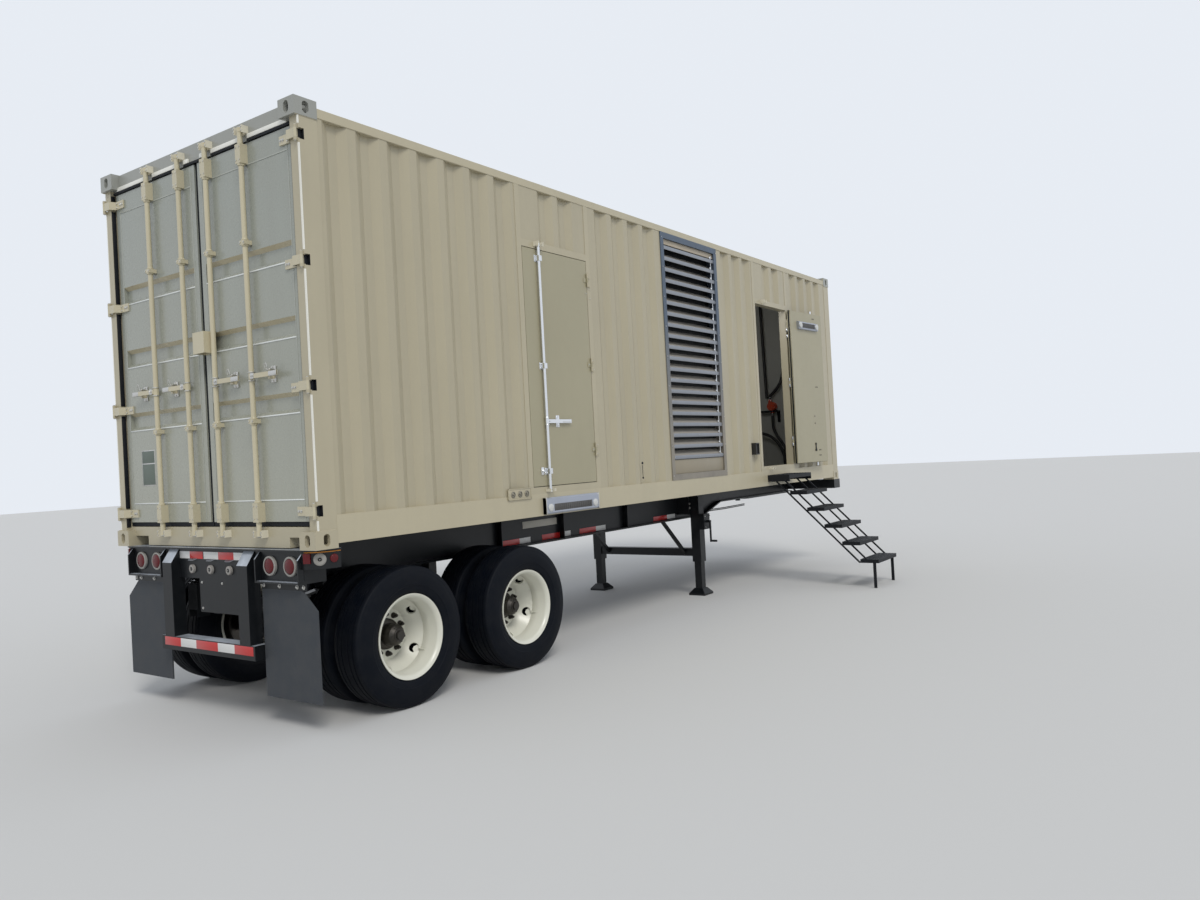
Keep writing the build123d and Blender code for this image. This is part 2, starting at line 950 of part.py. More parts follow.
def side_brackets(start):
    """Bearing brackets that hold the rod to its leaf, and the catch behind its handle."""
    x, y = side_rod_place(start)
    face = -half_width + side_leaf_inset
    half = side_rod_radius + sleeve_front
    front = y - half
    brackets = []
    for height in side_bracket_heights:
        z = deck_height + side_leaf_low + height
        bracket = block(x - half, x + half, front, face, z, z + side_bracket_height)
        bore = side_rod_radius + rod_bore_clearance
        brackets.append(bracket - upright(x, y, bore, z, z + side_bracket_height))
    z = deck_height + side_leaf_low + side_handle_height
    catch_x = x + side_handle_length / 2
    back = y + side_handle_thickness / 2
    brackets.append(block(
        catch_x - catch_width / 2, catch_x + catch_width / 2, back + catch_gap, face,
        z - handle_width, z + handle_width))
    return brackets


def side_keepers(start):
    """Open-fronted keepers on the frame above and below a personnel door."""
    x, y = side_rod_place(start)
    face = -post_face
    reach = side_cam_radius + keeper_gap
    low_end = deck_height + side_leaf_low - side_rod_overrun + cam_height / 2
    high_end = deck_height + side_leaf_low + side_leaf_height + side_rod_overrun - cam_height / 2
    keepers = []
    for z in (low_end, high_end):
        low = z - keeper_height / 4
        high = z + keeper_height / 2 if z == high_end else z + keeper_height / 4
        plate = block(
            x - reach - keeper_thickness, x + reach + keeper_thickness,
            face - side_keeper_plate, face, low, high)
        for side in (-1, 1):
            inner = x + side * reach
            outer = inner + side * keeper_thickness
            plate += block(min(inner, outer), max(inner, outer), face - keeper_reach, face, low, high)
        keepers.append(plate)
    return keepers


def lamp_bar(x_low, length, height, y_back, depth, z_low):
    """A flat bar lamp with chamfered long edges, proud of a face towards low Y."""
    chamfer_size = depth / 3
    points = [
        (y_back, z_low), (y_back - depth + chamfer_size, z_low), (y_back - depth, z_low + chamfer_size),
        (y_back - depth, z_low + height - chamfer_size),
        (y_back - depth + chamfer_size, z_low + height), (y_back, z_low + height),
    ]
    return prism_x(points, x_low, x_low + length)


def rail_lamp():
    return lamp_bar(
        along(rail_lamp_start), rail_lamp_length, rail_lamp_height, -rail_face, side_lamp_depth,
        deck_height + rail_lamp_low)


def door_lamp():
    """The lamp on the back of the access leaf, near its top."""
    x_low = along(access_door_start) + (side_leaf_width - side_lamp_length) / 2
    back = -half_width + side_leaf_inset + side_leaf_thickness
    z_low = deck_height + side_leaf_low + side_leaf_height - side_lamp_drop - side_lamp_height
    lamp = lamp_bar(x_low, side_lamp_length, side_lamp_height, -back, side_lamp_depth, z_low)
    return other_side(lamp)


def swung_open(shape):
    """A piece of the access door, turned about its hinge to where it stands open."""
    pin_x, pin_y = side_pin_place(access_door_start)
    return Pos(pin_x, pin_y, 0) * Rot(0, 0, access_door_angle) * Pos(-pin_x, -pin_y, 0) * shape


# Power socket and fuel transfer gear


def power_socket():
    """Recessed socket box that stands in a corrugation beside the access door."""
    x_low = along(socket_start)
    z_low = deck_height + socket_low
    z_high = z_low + socket_height
    front = -wall_face - socket_depth
    floor = -wall_face + corrugation_depth
    overhang = (socket_width - corrugation_valley) / 2
    back = floor - corrugation_depth * overhang / corrugation_slope - socket_seat_gap
    box = block(x_low, x_low + socket_width, front, back, z_low, z_high)
    box += block(
        x_low + overhang + 1, x_low + socket_width - overhang - 1, back, floor, z_low, z_high)
    rim = socket_width / 8
    return box - block(
        x_low + rim, x_low + socket_width - rim, front, front + socket_depth / 2,
        z_low + rim, z_high - rim)


def fuel_pump():
    """Round pump body with its inlet and outlet necks, on its shelf bracket."""
    wall = front_face - wall_inset - wall_thickness
    x = wall - hose_standoff
    z = deck_height + pump_height
    y = -pump_offset
    body = lying_x(y, z, pump_radius, x - pump_length / 2, x + pump_length / 2)
    neck = hose_neck_radius
    body += upright(x, y + pump_outlet_shift, neck, z, z + pump_neck_height)
    body += upright(x, y, neck, z - pump_neck_height, z)
    return body


def pump_bracket():
    wall = front_face - wall_inset - wall_thickness
    z = deck_height + pump_height - pump_radius
    y = -pump_offset
    thickness = pump_shelf_thickness
    reach = hose_standoff + pump_length / 2
    shelf = block(
        wall - reach, wall, y - pump_shelf_width / 3, y + pump_shelf_width * 2 / 3, z - thickness, z)
    leg_y = y - pump_shelf_width / 3
    shelf += block(
        wall - thickness, wall, leg_y, leg_y + pump_bracket_leg_width, z - pump_bracket_leg_height, z)
    x = wall - hose_standoff
    return shelf - upright(x, y, hose_neck_radius + hub_clearance / 2, z - thickness, z)


def hose(points, radius):
    """A hose along straight runs joined by arcs as large as the runs allow."""
    corners = []
    for before, here, after in zip(points, points[1:], points[2:]):
        first = Vector(*here) - Vector(*before)
        second = Vector(*after) - Vector(*here)
        turn = radians(first.get_angle(second))
        corners.append(0.45 * min(first.length, second.length) / tan(turn / 2))
    if corners:
        path = FilletPolyline(*points, radius=corners)
    else:
        path = Line(*points)
    start = Plane(path @ 0, z_dir=path % 0)
    return sweep(start * Circle(radius), path=path)


def fuel_hoses():
    """Delivery hose, suction hose and return hose on the front wall's back."""
    x = front_face - wall_inset - wall_thickness - hose_standoff
    pump_z = deck_height + pump_height
    low = bottom_rail_top
    top = pump_z + pump_neck_height
    y_out = -pump_offset + pump_outlet_shift
    route = [(x, y_out, top), (x, y_out, top + delivery_rise)]
    route += [(x, -side, pump_z + height) for side, height in delivery_bends]
    route += [(x, -delivery_side, pump_z + delivery_turn), (x, -delivery_side, roof_top - casting_height)]
    delivery = hose(route, hose_radius)
    neck = pump_z - pump_neck_height
    route = [(x, -pump_offset, neck), (x, -pump_offset, neck - suction_drop)]
    route += [(x, -side, pump_z - height) for side, height in suction_bends]
    route += [(x, -suction_side, pump_z - suction_turn), (x, -suction_side, low)]
    suction = hose(route, hose_radius)
    near = x - hose_layer_gap
    route = [(near, -side, low + height) for side, height in return_bends]
    route += [(near, -suction_side, low + return_turn), (near, -suction_side, deck_height + floor_top)]
    return [delivery, suction, hose(route, hose_radius)]


def vent_riser():
    """Rigid vent pipe beside the pump, up to the front rail."""
    wall = front_face - wall_inset - wall_thickness
    x = wall - hose_standoff
    y = -pump_offset + riser_gap
    z_low = deck_height + pump_height + pump_neck_height + hose_radius
    points = [(x, y, z_low), (x, y + riser_lean, roof_top - casting_height - hose_radius)]
    half = hose_radius / 2
    return hose(points, hose_radius) + block(x, wall, y - half, y + half, z_low, z_low + hose_radius)


# Chassis


def beam_profile_z(x):
    """Height of a main beam's underside."""
    deep = beam_top - beam_depth
    shallow = beam_top - gooseneck_depth
    if x <= along(gooseneck_start):
        return deep
    if x >= along(gooseneck_end):
        return shallow
    share = (x - along(gooseneck_start)) / (gooseneck_end - gooseneck_start)
    return deep + share * (shallow - deep)


def main_beam():
    """One I-beam, shallower over the tractor, at low Y."""
    x_low = rear_face + bolster_length
    x_high = side_end
    y = -beam_spacing / 2
    corners = [x_low, along(gooseneck_start), along(gooseneck_end), x_high]
    bottom = [(x, beam_profile_z(x)) for x in corners]
    web = prism_y(bottom + [(x_high, beam_top), (x_low, beam_top)], y - beam_web / 2, y + beam_web / 2)
    half = beam_width / 2
    top = block(x_low, x_high, y - half, y + half, beam_top - beam_flange, beam_top)
    lifted = [(x, z + beam_flange) for x, z in reversed(bottom)]
    return web + top + prism_y(bottom + lifted, y - half, y + half)


def cross_member_places():
    axle_middle = rear_axle + axle_spacing / 2
    return (
        axle_middle, axle_middle + axle_spacing,
        axle_middle + 2 * axle_spacing, leg_position - axle_spacing / 2, leg_position,
        coupler_start, coupler_start + coupler_length / 2,
    )


def cross_members():
    """Channels between the beams' webs."""
    reach = beam_spacing / 2 - beam_web / 2
    members = []
    for place in cross_member_places():
        x = along(place)
        top = beam_top - beam_flange
        depth = min(cross_member_depth, top - beam_profile_z(x) - beam_flange)
        low = top - depth
        half = cross_member_width / 2
        points = [
            (x - half, low), (x + half, low), (x + half, low + beam_flange),
            (x - half + beam_web, low + beam_flange), (x - half + beam_web, top - beam_flange),
            (x + half, top - beam_flange), (x + half, top), (x - half, top),
        ]
        members.append(prism_y(points, -reach, reach))
    return members


def rear_bolster():
    """Bolster under the rear castings, with its recessed lamp bar and rounded ends."""
    x_high = rear_face + bolster_length
    plate = block(rear_face, x_high, -half_width, half_width, deck_height - bolster_plate, deck_height)
    plate = fillet(plate.edges().filter_by(Axis.Z).group_by(Axis.X)[0], bolster_corner)
    reach = half_width - bolster_plate
    low = deck_height - bolster_end_height
    ends = block(rear_face + bolster_plate, x_high, -reach, reach, low, deck_height - bolster_plate)
    ends = fillet(ends.edges().filter_by(Axis.Z).group_by(Axis.X)[0], bolster_corner - bolster_plate)
    ends -= block(
        rear_face, x_high, -lamp_bar_half_width, lamp_bar_half_width, low, deck_height - bolster_plate)
    x_low = rear_face + bolster_face
    bar = block(
        x_low, x_high, -lamp_bar_half_width, lamp_bar_half_width,
        deck_height - lamp_bar_height, deck_height - bolster_plate)
    low = deck_height - lamp_bar_height
    guard = rear_face + lamp_guard_rear
    bar += block(guard, x_low, -lamp_bar_half_width, -flap_inner, low - bolster_plate, low)
    bar += block(guard, x_low, flap_inner, lamp_bar_half_width, low - bolster_plate, low)
    bar += block(x_low, x_high, -lamp_bar_half_width, lamp_bar_half_width, low - bolster_plate, low)
    gusset = [
        (x_low, deck_height - bolster_plate), (guard, deck_height - lamp_guard_drop),
        (guard, low), (x_low, low),
    ]
    for y in (-lamp_bar_half_width, -flap_inner - bolster_plate):
        bar += pair(prism_y(gusset, y, y + bolster_plate))
    panel_z = low - bolster_plate
    panel_y = guard_post_offset - guard_post_width / 2
    bar += block(
        x_low, x_low + plate_panel_thickness, -panel_y, -panel_y + plate_panel_width,
        panel_z - plate_panel_height, panel_z)
    x_low += plate_panel_thickness
    x_high = x_low + flap_thickness
    for y in (-lamp_bar_half_width, flap_inner):
        bar += block(x_low, x_high, y, y + lamp_bar_half_width - flap_inner, panel_z - flap_bar_depth, panel_z)
    return plate + ends + bar


def front_bolster():
    x_low = along(container_length) - casting_length
    x_high = x_low + front_bolster_length
    return block(
        x_low, x_high, -half_width, half_width, deck_height - bolster_end_height, deck_height)


def lock_posts():
    """Orange posts in front of the front castings, each with its locking pin."""
    x_high = front_face - casting_length + front_bolster_length
    x_low = front_face + post_inset
    y = -half_width + casting_width / 2
    half = lock_post_width / 2
    points = [
        (x_low, deck_height), (x_high, deck_height), (x_high, deck_height + lock_post_front_height),
        (x_low, deck_height + lock_post_back_height),
    ]
    post = prism_y(points, y - half, y + half)
    pin_radius = casting_hole_width / 2 - post_inset
    z = deck_height + casting_height / 2
    post += lying_x(y, z, pin_radius, front_face - casting_wall, x_low)
    return pair(post)


def guard_posts_and_bar():
    """Underride guard: two posts with slanted tops and a square bar between them."""
    x_low = rear_face + guard_rear
    x_back = rear_face + bolster_face
    x_high = x_low + guard_post_depth
    top = deck_height - bolster_plate
    low = guard_bar_low + guard_bar_height
    under_bar = deck_height - lamp_bar_height - bolster_plate
    points = [
        (x_low, low), (x_high, low), (x_high, under_bar), (x_back, under_bar),
        (x_back, top), (x_low, top - guard_slant),
    ]
    inner = guard_post_offset - guard_post_width / 2
    posts = pair(prism_y(points, -inner - guard_post_width, -inner))
    half = guard_bar_width / 2
    bar = block(x_low, x_high, -half, half, guard_bar_low, low)
    return bar + posts


def mud_flap():
    """Rubber flap with its outer top corner cut off, at low Y."""
    x_low = rear_face + bolster_face + plate_panel_thickness
    top = deck_height - lamp_bar_height - bolster_plate - flap_bar_depth
    low = deck_height - flap_bottom
    points = [
        (-flap_inner, low), (-flap_inner, top), (-flap_outer + flap_chamfer_width, top),
        (-flap_outer, top - flap_chamfer_height), (-flap_outer, low),
    ]
    return prism_x(points, x_low, x_low + flap_thickness)


def tail_lamps():
    """Round lamps in rings on the lamp bar, and three markers between the guard's posts."""
    face = rear_face + bolster_face
    lamps = []
    outer = lamp_bar_half_width - lamp_end_margin
    for offset in (outer, outer - lamp_spacing):
        for y in (-offset, offset):
            z = deck_height - lamp_drop
            ring = lying_x(y, z, lamp_ring_radius, face - lamp_depth / 2, face)
            lamps.append(ring + lying_x(y, z, lamp_radius, face - lamp_depth, face))
    for index in (-1, 0, 1):
        z = deck_height - marker_drop
        y = index * marker_spacing
        lamps.append(lying_x(y, z, marker_radius, face - lamp_depth, face))
    return lamps


# Running gear


def axle_x(index):
    return along(rear_axle + index * axle_spacing)


def dual_middle():
    """Y of the plane where the two wheel discs of the low Y side meet."""
    return -(half_width - tyre_outer_inset - tyre_width / 2 - dual_spacing / 2)


def wheel_place(index):
    """Local Y points outboard, at low Y."""
    return Pos(axle_x(index), dual_middle(), tyre_radius) * Rot(0, 0, 180)


def tyre_profile(middle):
    """A tyre's section, as (y, r) points, from bead to bead over the tread."""
    half = tyre_width / 2
    bead = rim_width / 2 - rim_bead_width - bead_gap
    shoulder = tyre_radius - shoulder_drop
    side = rim_radius + (shoulder - rim_radius) / 2
    points = [
        (bead, rim_radius), (half - shoulder_drop / 4, rim_radius + shoulder_drop), (half, side),
        (half - shoulder_drop / 2, shoulder), (half - shoulder_drop, tyre_radius),
    ]
    near = [(middle - y, r) for y, r in points]
    return near + [(middle + y, r) for y, r in reversed(points)]


def revolve_y(points):
    """Turn a profile of (y, r) points about the Y axis."""
    return revolve(Plane.YZ * Polygon(*points, align=None), axis=Axis.Y)


def tyres():
    offset = dual_spacing / 2
    return [revolve_y(tyre_profile(offset)), revolve_y(tyre_profile(-offset))]


def disc_wheel(start):
    """Outboard dished disc wheel with its hand holes. Its mounting face is at Y zero."""
    near = dual_spacing / 2 - rim_width / 2
    far = dual_spacing / 2 + rim_width / 2
    inner = rim_radius - rim_wall
    lip = rim_radius + rim_lip_height
    run, rise = disc_dish - disc_thickness, inner - disc_flat_radius
    slope = sqrt(run ** 2 + rise ** 2)
    profile = [
        (0, disc_bore_radius), (disc_thickness, disc_bore_radius), (disc_thickness, disc_flat_radius),
        (disc_dish, inner), (far, inner), (far, lip), (far - rim_lip_width, lip),
        (far - rim_bead_width, rim_radius), (near + rim_bead_width, rim_radius),
        (near + rim_lip_width, lip), (near, lip), (near, inner),
        (disc_dish - disc_thickness * slope / rise, inner),
        (0, disc_flat_radius + disc_thickness / 2),
    ]
    wheel = revolve_y(profile)
    middle = disc_thickness + run * (hand_hole_circle - disc_flat_radius) / rise
    for index in range(hand_hole_count):
        angle = 2 * pi * (start / 360 + index / hand_hole_count)
        outward = Vector(-cos(angle), 0, sin(angle))
        centre = outward * hand_hole_circle + Vector(0, middle, 0)
        square = Plane(origin=centre, z_dir=Vector(0, rise, 0) - outward * run)
        wheel -= square * Cylinder(hand_hole_radius, 3 * disc_thickness)
    return wheel


def hub():
    """Hub with its brake drum behind the discs and its cap in front."""
    pilot = disc_bore_radius - hub_clearance
    drum_front = disc_thickness + hub_drum_gap
    drum_back = drum_front + drum_length
    profile = [
        (hub_cap_length, 0), (hub_cap_length, hub_cap_radius - hub_cap_bevel),
        (hub_cap_length - hub_cap_bevel, hub_cap_radius), (2 * disc_thickness, hub_cap_radius),
        (disc_thickness, pilot), (-disc_thickness, pilot), (-disc_thickness, hub_flange_radius),
        (-drum_front, drum_radius), (-drum_back, drum_radius), (-drum_back, drum_radius - drum_wall),
        (-drum_front - drum_wall, drum_radius - drum_wall),
        (-drum_front - drum_wall, hub_barrel_radius), (-hub_inner_length, hub_barrel_radius),
        (-hub_inner_length, 0),
    ]
    return revolve_y(profile)


def axles():
    """Axle tubes between the hubs."""
    reach = -dual_middle() - hub_inner_length - axle_end_gap
    return [lying_y(axle_x(index), tyre_radius, axle_radius, -reach, reach) for index in (0, 1)]


def spring_base():
    return tyre_radius + axle_radius + spring_seat_height


def spring_radius():
    """Radius of the springs' underside, from the rise of the longest leaf."""
    return (spring_half_length ** 2 + spring_rise ** 2) / (2 * spring_rise)


def leaf_spring(index):
    """Stacked leaves over an axle at low Y, on their seat."""
    x = axle_x(index)
    y = -beam_spacing / 2
    centre_z = spring_base() + spring_radius()
    spring = Part()
    for number, half_length in enumerate(leaf_spring_lengths):
        outer = spring_radius() - number * leaf_spring_thickness
        inner = outer - leaf_spring_thickness
        half_angle = degrees(atan2(half_length, sqrt(outer ** 2 - half_length ** 2)))
        low_arc = CenterArc((0, 0), outer, 270 - half_angle, 2 * half_angle)
        high_arc = CenterArc((0, 0), inner, 270 - half_angle, 2 * half_angle)
        edges = [low_arc, Line(low_arc @ 1, high_arc @ 1), high_arc, Line(high_arc @ 0, low_arc @ 0)]
        face = Plane.XZ * make_face(edges)
        spring += Pos(x, y + spring_width / 2, centre_z) * extrude(face, amount=spring_width)
    half = spring_width / 2
    seat = block(
        x - half, x + half, y - half, y + half, tyre_radius + axle_radius / 2,
        spring_base() + leaf_spring_thickness / 2)
    return spring + seat - lying_y(x, tyre_radius, axle_radius, y - half, y + half)


def hanger(x, length):
    """Inverted channel under a beam that takes a spring's end."""
    y = -beam_spacing / 2
    rise = len(leaf_spring_lengths) * leaf_spring_thickness + spring_rise
    ceiling = spring_base() + rise + spring_hanger_gap
    half = hanger_width / 2
    inner = half - hanger_wall
    low = ceiling - hanger_drop
    top = beam_top - beam_depth
    points = [
        (y - half, low), (y - inner, low), (y - inner, ceiling), (y + inner, ceiling),
        (y + inner, low), (y + half, low), (y + half, top), (y - half, top),
    ]
    return prism_x(points, x - length / 2, x + length / 2)


def spring_hangers():
    front_end = axle_x(1) + spring_half_length
    rear_end = axle_x(0) - spring_half_length
    middle = (axle_x(0) + axle_x(1)) / 2
    long = 2 * hanger_length
    pieces = []
    for x, length in ((front_end, hanger_length), (middle, long), (rear_end, hanger_length)):
        pieces += pair(hanger(x, length))
    return pieces


# Landing gear


def leg_housing():
    """Square tube of the low Y leg, open below."""
    x = along(leg_position)
    y = -leg_offset
    half = leg_housing_size / 2
    inner = half - leg_housing_wall
    high = leg_housing_low + leg_housing_height
    tube = block(x - half, x + half, y - half, y + half, leg_housing_low, high)
    return tube - block(
        x - inner, x + inner, y - inner, y + inner, leg_housing_low, high - leg_housing_wall)


def landing_leg():
    """Inner leg with its shoe, at low Y, standing on the ground."""
    x = along(leg_position)
    y = -leg_offset
    half = leg_housing_size / 2 - leg_housing_wall - leg_gap
    leg = block(x - half, x + half, y - half, y + half, foot_height, leg_top)
    rim = block(x - foot_size / 2, x + foot_size / 2, y - foot_size / 2, y + foot_size / 2, 0, foot_rim)
    wide = Plane.XY.offset(foot_rim) * Rectangle(foot_size, foot_size)
    narrow = Plane.XY.offset(foot_height) * Rectangle(2 * half + foot_rim, 2 * half + foot_rim)
    shoe = Pos(x, y, 0) * loft([wide, narrow])
    guide = leg_housing_size / 2 - leg_housing_wall - leg_guide_gap
    collar = block(x - guide, x + guide, y - guide, y + guide, leg_top - leg_guide_height, leg_top)
    return leg + collar + rim + shoe


def leg_frame():
    """Mounting blocks to the beams, the tube between the legs, and the diagonal braces."""
    x = along(leg_position)
    inner = leg_offset - leg_housing_size / 2
    half_length = leg_bracket_length / 2
    high = leg_housing_low + leg_housing_height
    pieces = pair(block(
        x - half_length, x + half_length, -inner, -beam_spacing / 2 - beam_web / 2,
        high - leg_bracket_height, high))
    half = leg_tube_size / 2
    pieces.append(block(x - half, x + half, -inner, inner, leg_tube_height - half, leg_tube_height + half))
    start_x = x - brace_run
    end_x = x - half
    top = beam_top - beam_depth
    low = leg_tube_height - brace_width / 2
    points = [(start_x, top), (start_x + brace_width, top), (end_x, low + brace_width), (end_x, low)]
    brace_y = -beam_spacing / 2 - beam_width / 2
    pieces += pair(prism_y(points, brace_y, brace_y + brace_width))
    return pieces


def landing_crank():
    """Gear case on the low Y leg with its crank folded down."""
    x = along(leg_position)
    outer = -leg_offset - leg_housing_size / 2
    front = outer - gear_case_depth
    z = crank_height
    half = gear_case_width / 2
    case = block(x - half, x + half, front, outer, z - gear_case_height / 2, z + gear_case_height / 2)
    end = front - crank_reach
    shaft = lying_y(x, z, crank_shaft_radius, end, front)
    half = crank_arm_width / 2
    arm_back = end + crank_arm_thickness
    arm = block(x - half, x + half, end, arm_back, z - crank_length, z + crank_shaft_radius)
    grip_z = z - crank_length + crank_grip_radius
    grip = lying_y(x, grip_z, crank_grip_radius, end - crank_grip_length, arm_back)
    return case + shaft + arm + grip


# Coupling


def upper_coupler():
    """Plate under the gooseneck with its kingpin."""
    x_low = along(coupler_start)
    under = beam_top - gooseneck_depth
    reach = beam_spacing / 2 + beam_width / 2
    plate = block(x_low, x_low + coupler_length, -reach, reach, under - coupler_thickness, under)
    return fillet(plate.edges().filter_by(Axis.Z), coupler_corner)


def kingpin():
    x = along(kingpin_position)
    z = beam_top - gooseneck_depth - coupler_thickness
    pin = upright(x, 0, kingpin_collar_radius, z - kingpin_collar_height, z)
    neck_low = z - kingpin_collar_height - kingpin_neck_length
    pin += upright(x, 0, kingpin_radius, neck_low, z - kingpin_collar_height)
    return pin + upright(x, 0, kingpin_collar_radius, neck_low - kingpin_foot_height, neck_low)


# Stair


def stair_landing():
    """Sill step hooked on the bottom rail in front of the open doorway."""
    x_low = along(landing_start)
    top = deck_height + landing_top
    step = block(
        x_low, x_low + landing_length, -rail_face - landing_reach, -rail_face,
        top - landing_thickness, top)
    for x in (x_low, x_low + landing_length - stair_bar_width):
        step += block(
            x, x + stair_bar_width, -rail_face - landing_reach, -rail_face,
            top - landing_cheek_height, top - landing_thickness)
    return step


def tread_place(number):
    """Y of a tread's outer edge and Z of its top, counted down from the landing."""
    y = -rail_face - landing_reach - number * stair_run
    return y, deck_height + landing_top - number * stair_rise


def stair_bar_places():
    """X of the bars on each side, just inside the landing's cheeks."""
    inset = stair_bar_width + stair_hook_gap
    first = along(landing_start) + inset
    return first, along(landing_start) + landing_length - inset - stair_bar_width


def stair_bars():
    """Two sloping flat bars on each side, joined at each tread, with a leg to the ground."""
    slope = stair_rise / stair_run
    y_high = -rail_face - landing_reach + tread_depth / 2
    z_high = deck_height + landing_top - landing_thickness
    y_low, z_last = tread_place(stair_treads)
    z_low = z_last - tread_thickness
    run = (z_high - z_low) / slope
    bars = []
    for x in stair_bar_places():
        side = Part()
        for drop in (0, stair_bar_spacing):
            shift = drop / slope
            points = [
                (y_high + shift, z_high), (y_high + shift - stair_bar_height, z_high),
                (y_high + shift - stair_bar_height - run, z_low), (y_high + shift - run, z_low),
            ]
            side += prism_x(points, x, x + stair_bar_width)
        for number in range(1, stair_treads + 1):
            edge, top = tread_place(number)
            side += block(
                x, x + stair_bar_width, edge, edge + tread_depth, top - tread_thickness, top)
        leg_y = y_low + stair_leg_size
        side += block(
            x, x + stair_bar_width, leg_y, leg_y + stair_leg_size, 0, z_last)
        bars.append(side)
    return bars


def stair_tread_set():
    """Open treads between the sloping bars."""
    first, last = stair_bar_places()
    x_low = first + stair_bar_width
    x_high = last
    treads = []
    for number in range(1, stair_treads + 1):
        edge, top = tread_place(number)
        treads.append(block(x_low, x_high, edge, edge + tread_depth, top - tread_thickness, top))
    return treads


# Write every piece

os.makedirs("parts", exist_ok=True)
save("corner_castings", *corner_castings())
save("corner_posts", *pair(rear_post()), *pair(front_post()))
save("end_rails", door_header(), door_sill(), *front_rails())
save("side_rails", *side_rails())
save("right_wall", *near_walls())
save("left_wall", *far_walls())
save("front_wall", front_wall())
save("side_door_frames", door_frame(side_door_start), door_frame(access_door_start))
save("roof_panel", roof())
save("floor_deck", *floor_deck())
save("louvre_frames", *pair(louvre_frame()))
save("louvre_blades_right", *louvre_blade_set())
save("louvre_blades_left", *[other_side(blade) for blade in louvre_blade_set()])
save("rod_keepers", *rod_keepers(), *side_keepers(side_door_start), *side_keepers(access_door_start))
save("rail_lamp", rail_lamp())
save("power_socket", power_socket())
save("fuel_pump", fuel_pump())
save("pump_bracket", pump_bracket())
save("fuel_hoses", *fuel_hoses(), vent_riser())

save("cargo_door_right", cargo_leaf())
save("cargo_door_left", other_side(cargo_leaf()))
save("door_gasket_right", door_gasket())
save("door_gasket_left", other_side(door_gasket()))
save("lock_box", lock_box())
outer_offset, inner_offset = rod_offsets
save("lock_rod_right_outer", locking_rod(outer_offset))
save("lock_rod_right_inner", locking_rod(inner_offset))
save("lock_rod_left_inner", other_side(locking_rod(inner_offset)))
save("lock_rod_left_outer", other_side(locking_rod(outer_offset)))

save("side_door", side_leaf(side_door_start))
save("side_door_brackets", *side_brackets(side_door_start))
save("side_door_rod", side_rod(side_door_start))
access_gear = [side_rod(access_door_start), *side_brackets(access_door_start)]
save("access_door", swung_open(side_leaf(access_door_start)))
save("access_door_rod", *[swung_open(piece) for piece in access_gear])
save("access_door_lamp", swung_open(door_lamp()))

save("main_beams", *pair(main_beam()))
save("cross_members", *cross_members(), front_bolster())
save("rear_bolster", rear_bolster())
save("lock_posts", *lock_posts())
save("underride_guard", guard_posts_and_bar())
save("mud_flaps", *pair(mud_flap()))
save("tail_lamps", *tail_lamps())
save("spring_hangers", *spring_hangers())
save("leaf_springs", *pair(leaf_spring(0)), *pair(leaf_spring(1)))
save("axles", *axles())
save("leg_housings", *pair(leg_housing()))
save("leg_frame", *leg_frame(), landing_crank())
save("landing_leg_right", landing_leg())
save("landing_leg_left", other_side(landing_leg()))
save("upper_coupler", upper_coupler() + kingpin())
save("stair_landing", stair_landing())
save("stair", *stair_bars(), *stair_tread_set())

for index, place in ((0, "rear"), (1, "front")):
    discs = pair(disc_wheel(hand_hole_starts[index]))
    near_wheels = [wheel_place(index) * piece for piece in (*discs, hub())]
    near_tyres = [wheel_place(index) * tyre for tyre in tyres()]
    save(f"wheels_{place}_right", *near_wheels)
    save(f"wheels_{place}_left", *[other_side(piece) for piece in near_wheels])
    save(f"tyres_{place}_right", *near_tyres)
    save(f"tyres_{place}_left", *[other_side(tyre) for tyre in near_tyres])
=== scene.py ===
from itertools import product
from math import cos, pi, radians, sin

import bmesh
import bpy
from mathutils import Matrix, Vector


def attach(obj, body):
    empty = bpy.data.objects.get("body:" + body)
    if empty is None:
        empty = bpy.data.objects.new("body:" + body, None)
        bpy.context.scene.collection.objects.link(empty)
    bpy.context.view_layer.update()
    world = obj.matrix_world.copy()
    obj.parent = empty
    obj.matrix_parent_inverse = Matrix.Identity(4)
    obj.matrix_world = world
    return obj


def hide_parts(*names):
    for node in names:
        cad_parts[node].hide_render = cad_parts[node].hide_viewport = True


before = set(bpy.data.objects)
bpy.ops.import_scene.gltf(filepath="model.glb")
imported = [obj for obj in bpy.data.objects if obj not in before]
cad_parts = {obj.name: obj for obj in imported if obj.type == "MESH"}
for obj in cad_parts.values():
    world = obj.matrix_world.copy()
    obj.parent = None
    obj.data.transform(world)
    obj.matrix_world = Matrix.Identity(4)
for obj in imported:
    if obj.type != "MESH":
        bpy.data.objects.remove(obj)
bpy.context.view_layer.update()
scene = bpy.context.scene

# All sizes are in metres. Places are given as distances along the container from its rear
# face, across it from its centreline (the right side is negative), and over its underside.
LENGTH = 9.125
WALL = 1.219
DECK = 1.185


def at(distance):
    return distance - LENGTH / 2


def up(height):
    return height + DECK


def spot(distance, across, height):
    return Vector((at(distance), across, up(height)))


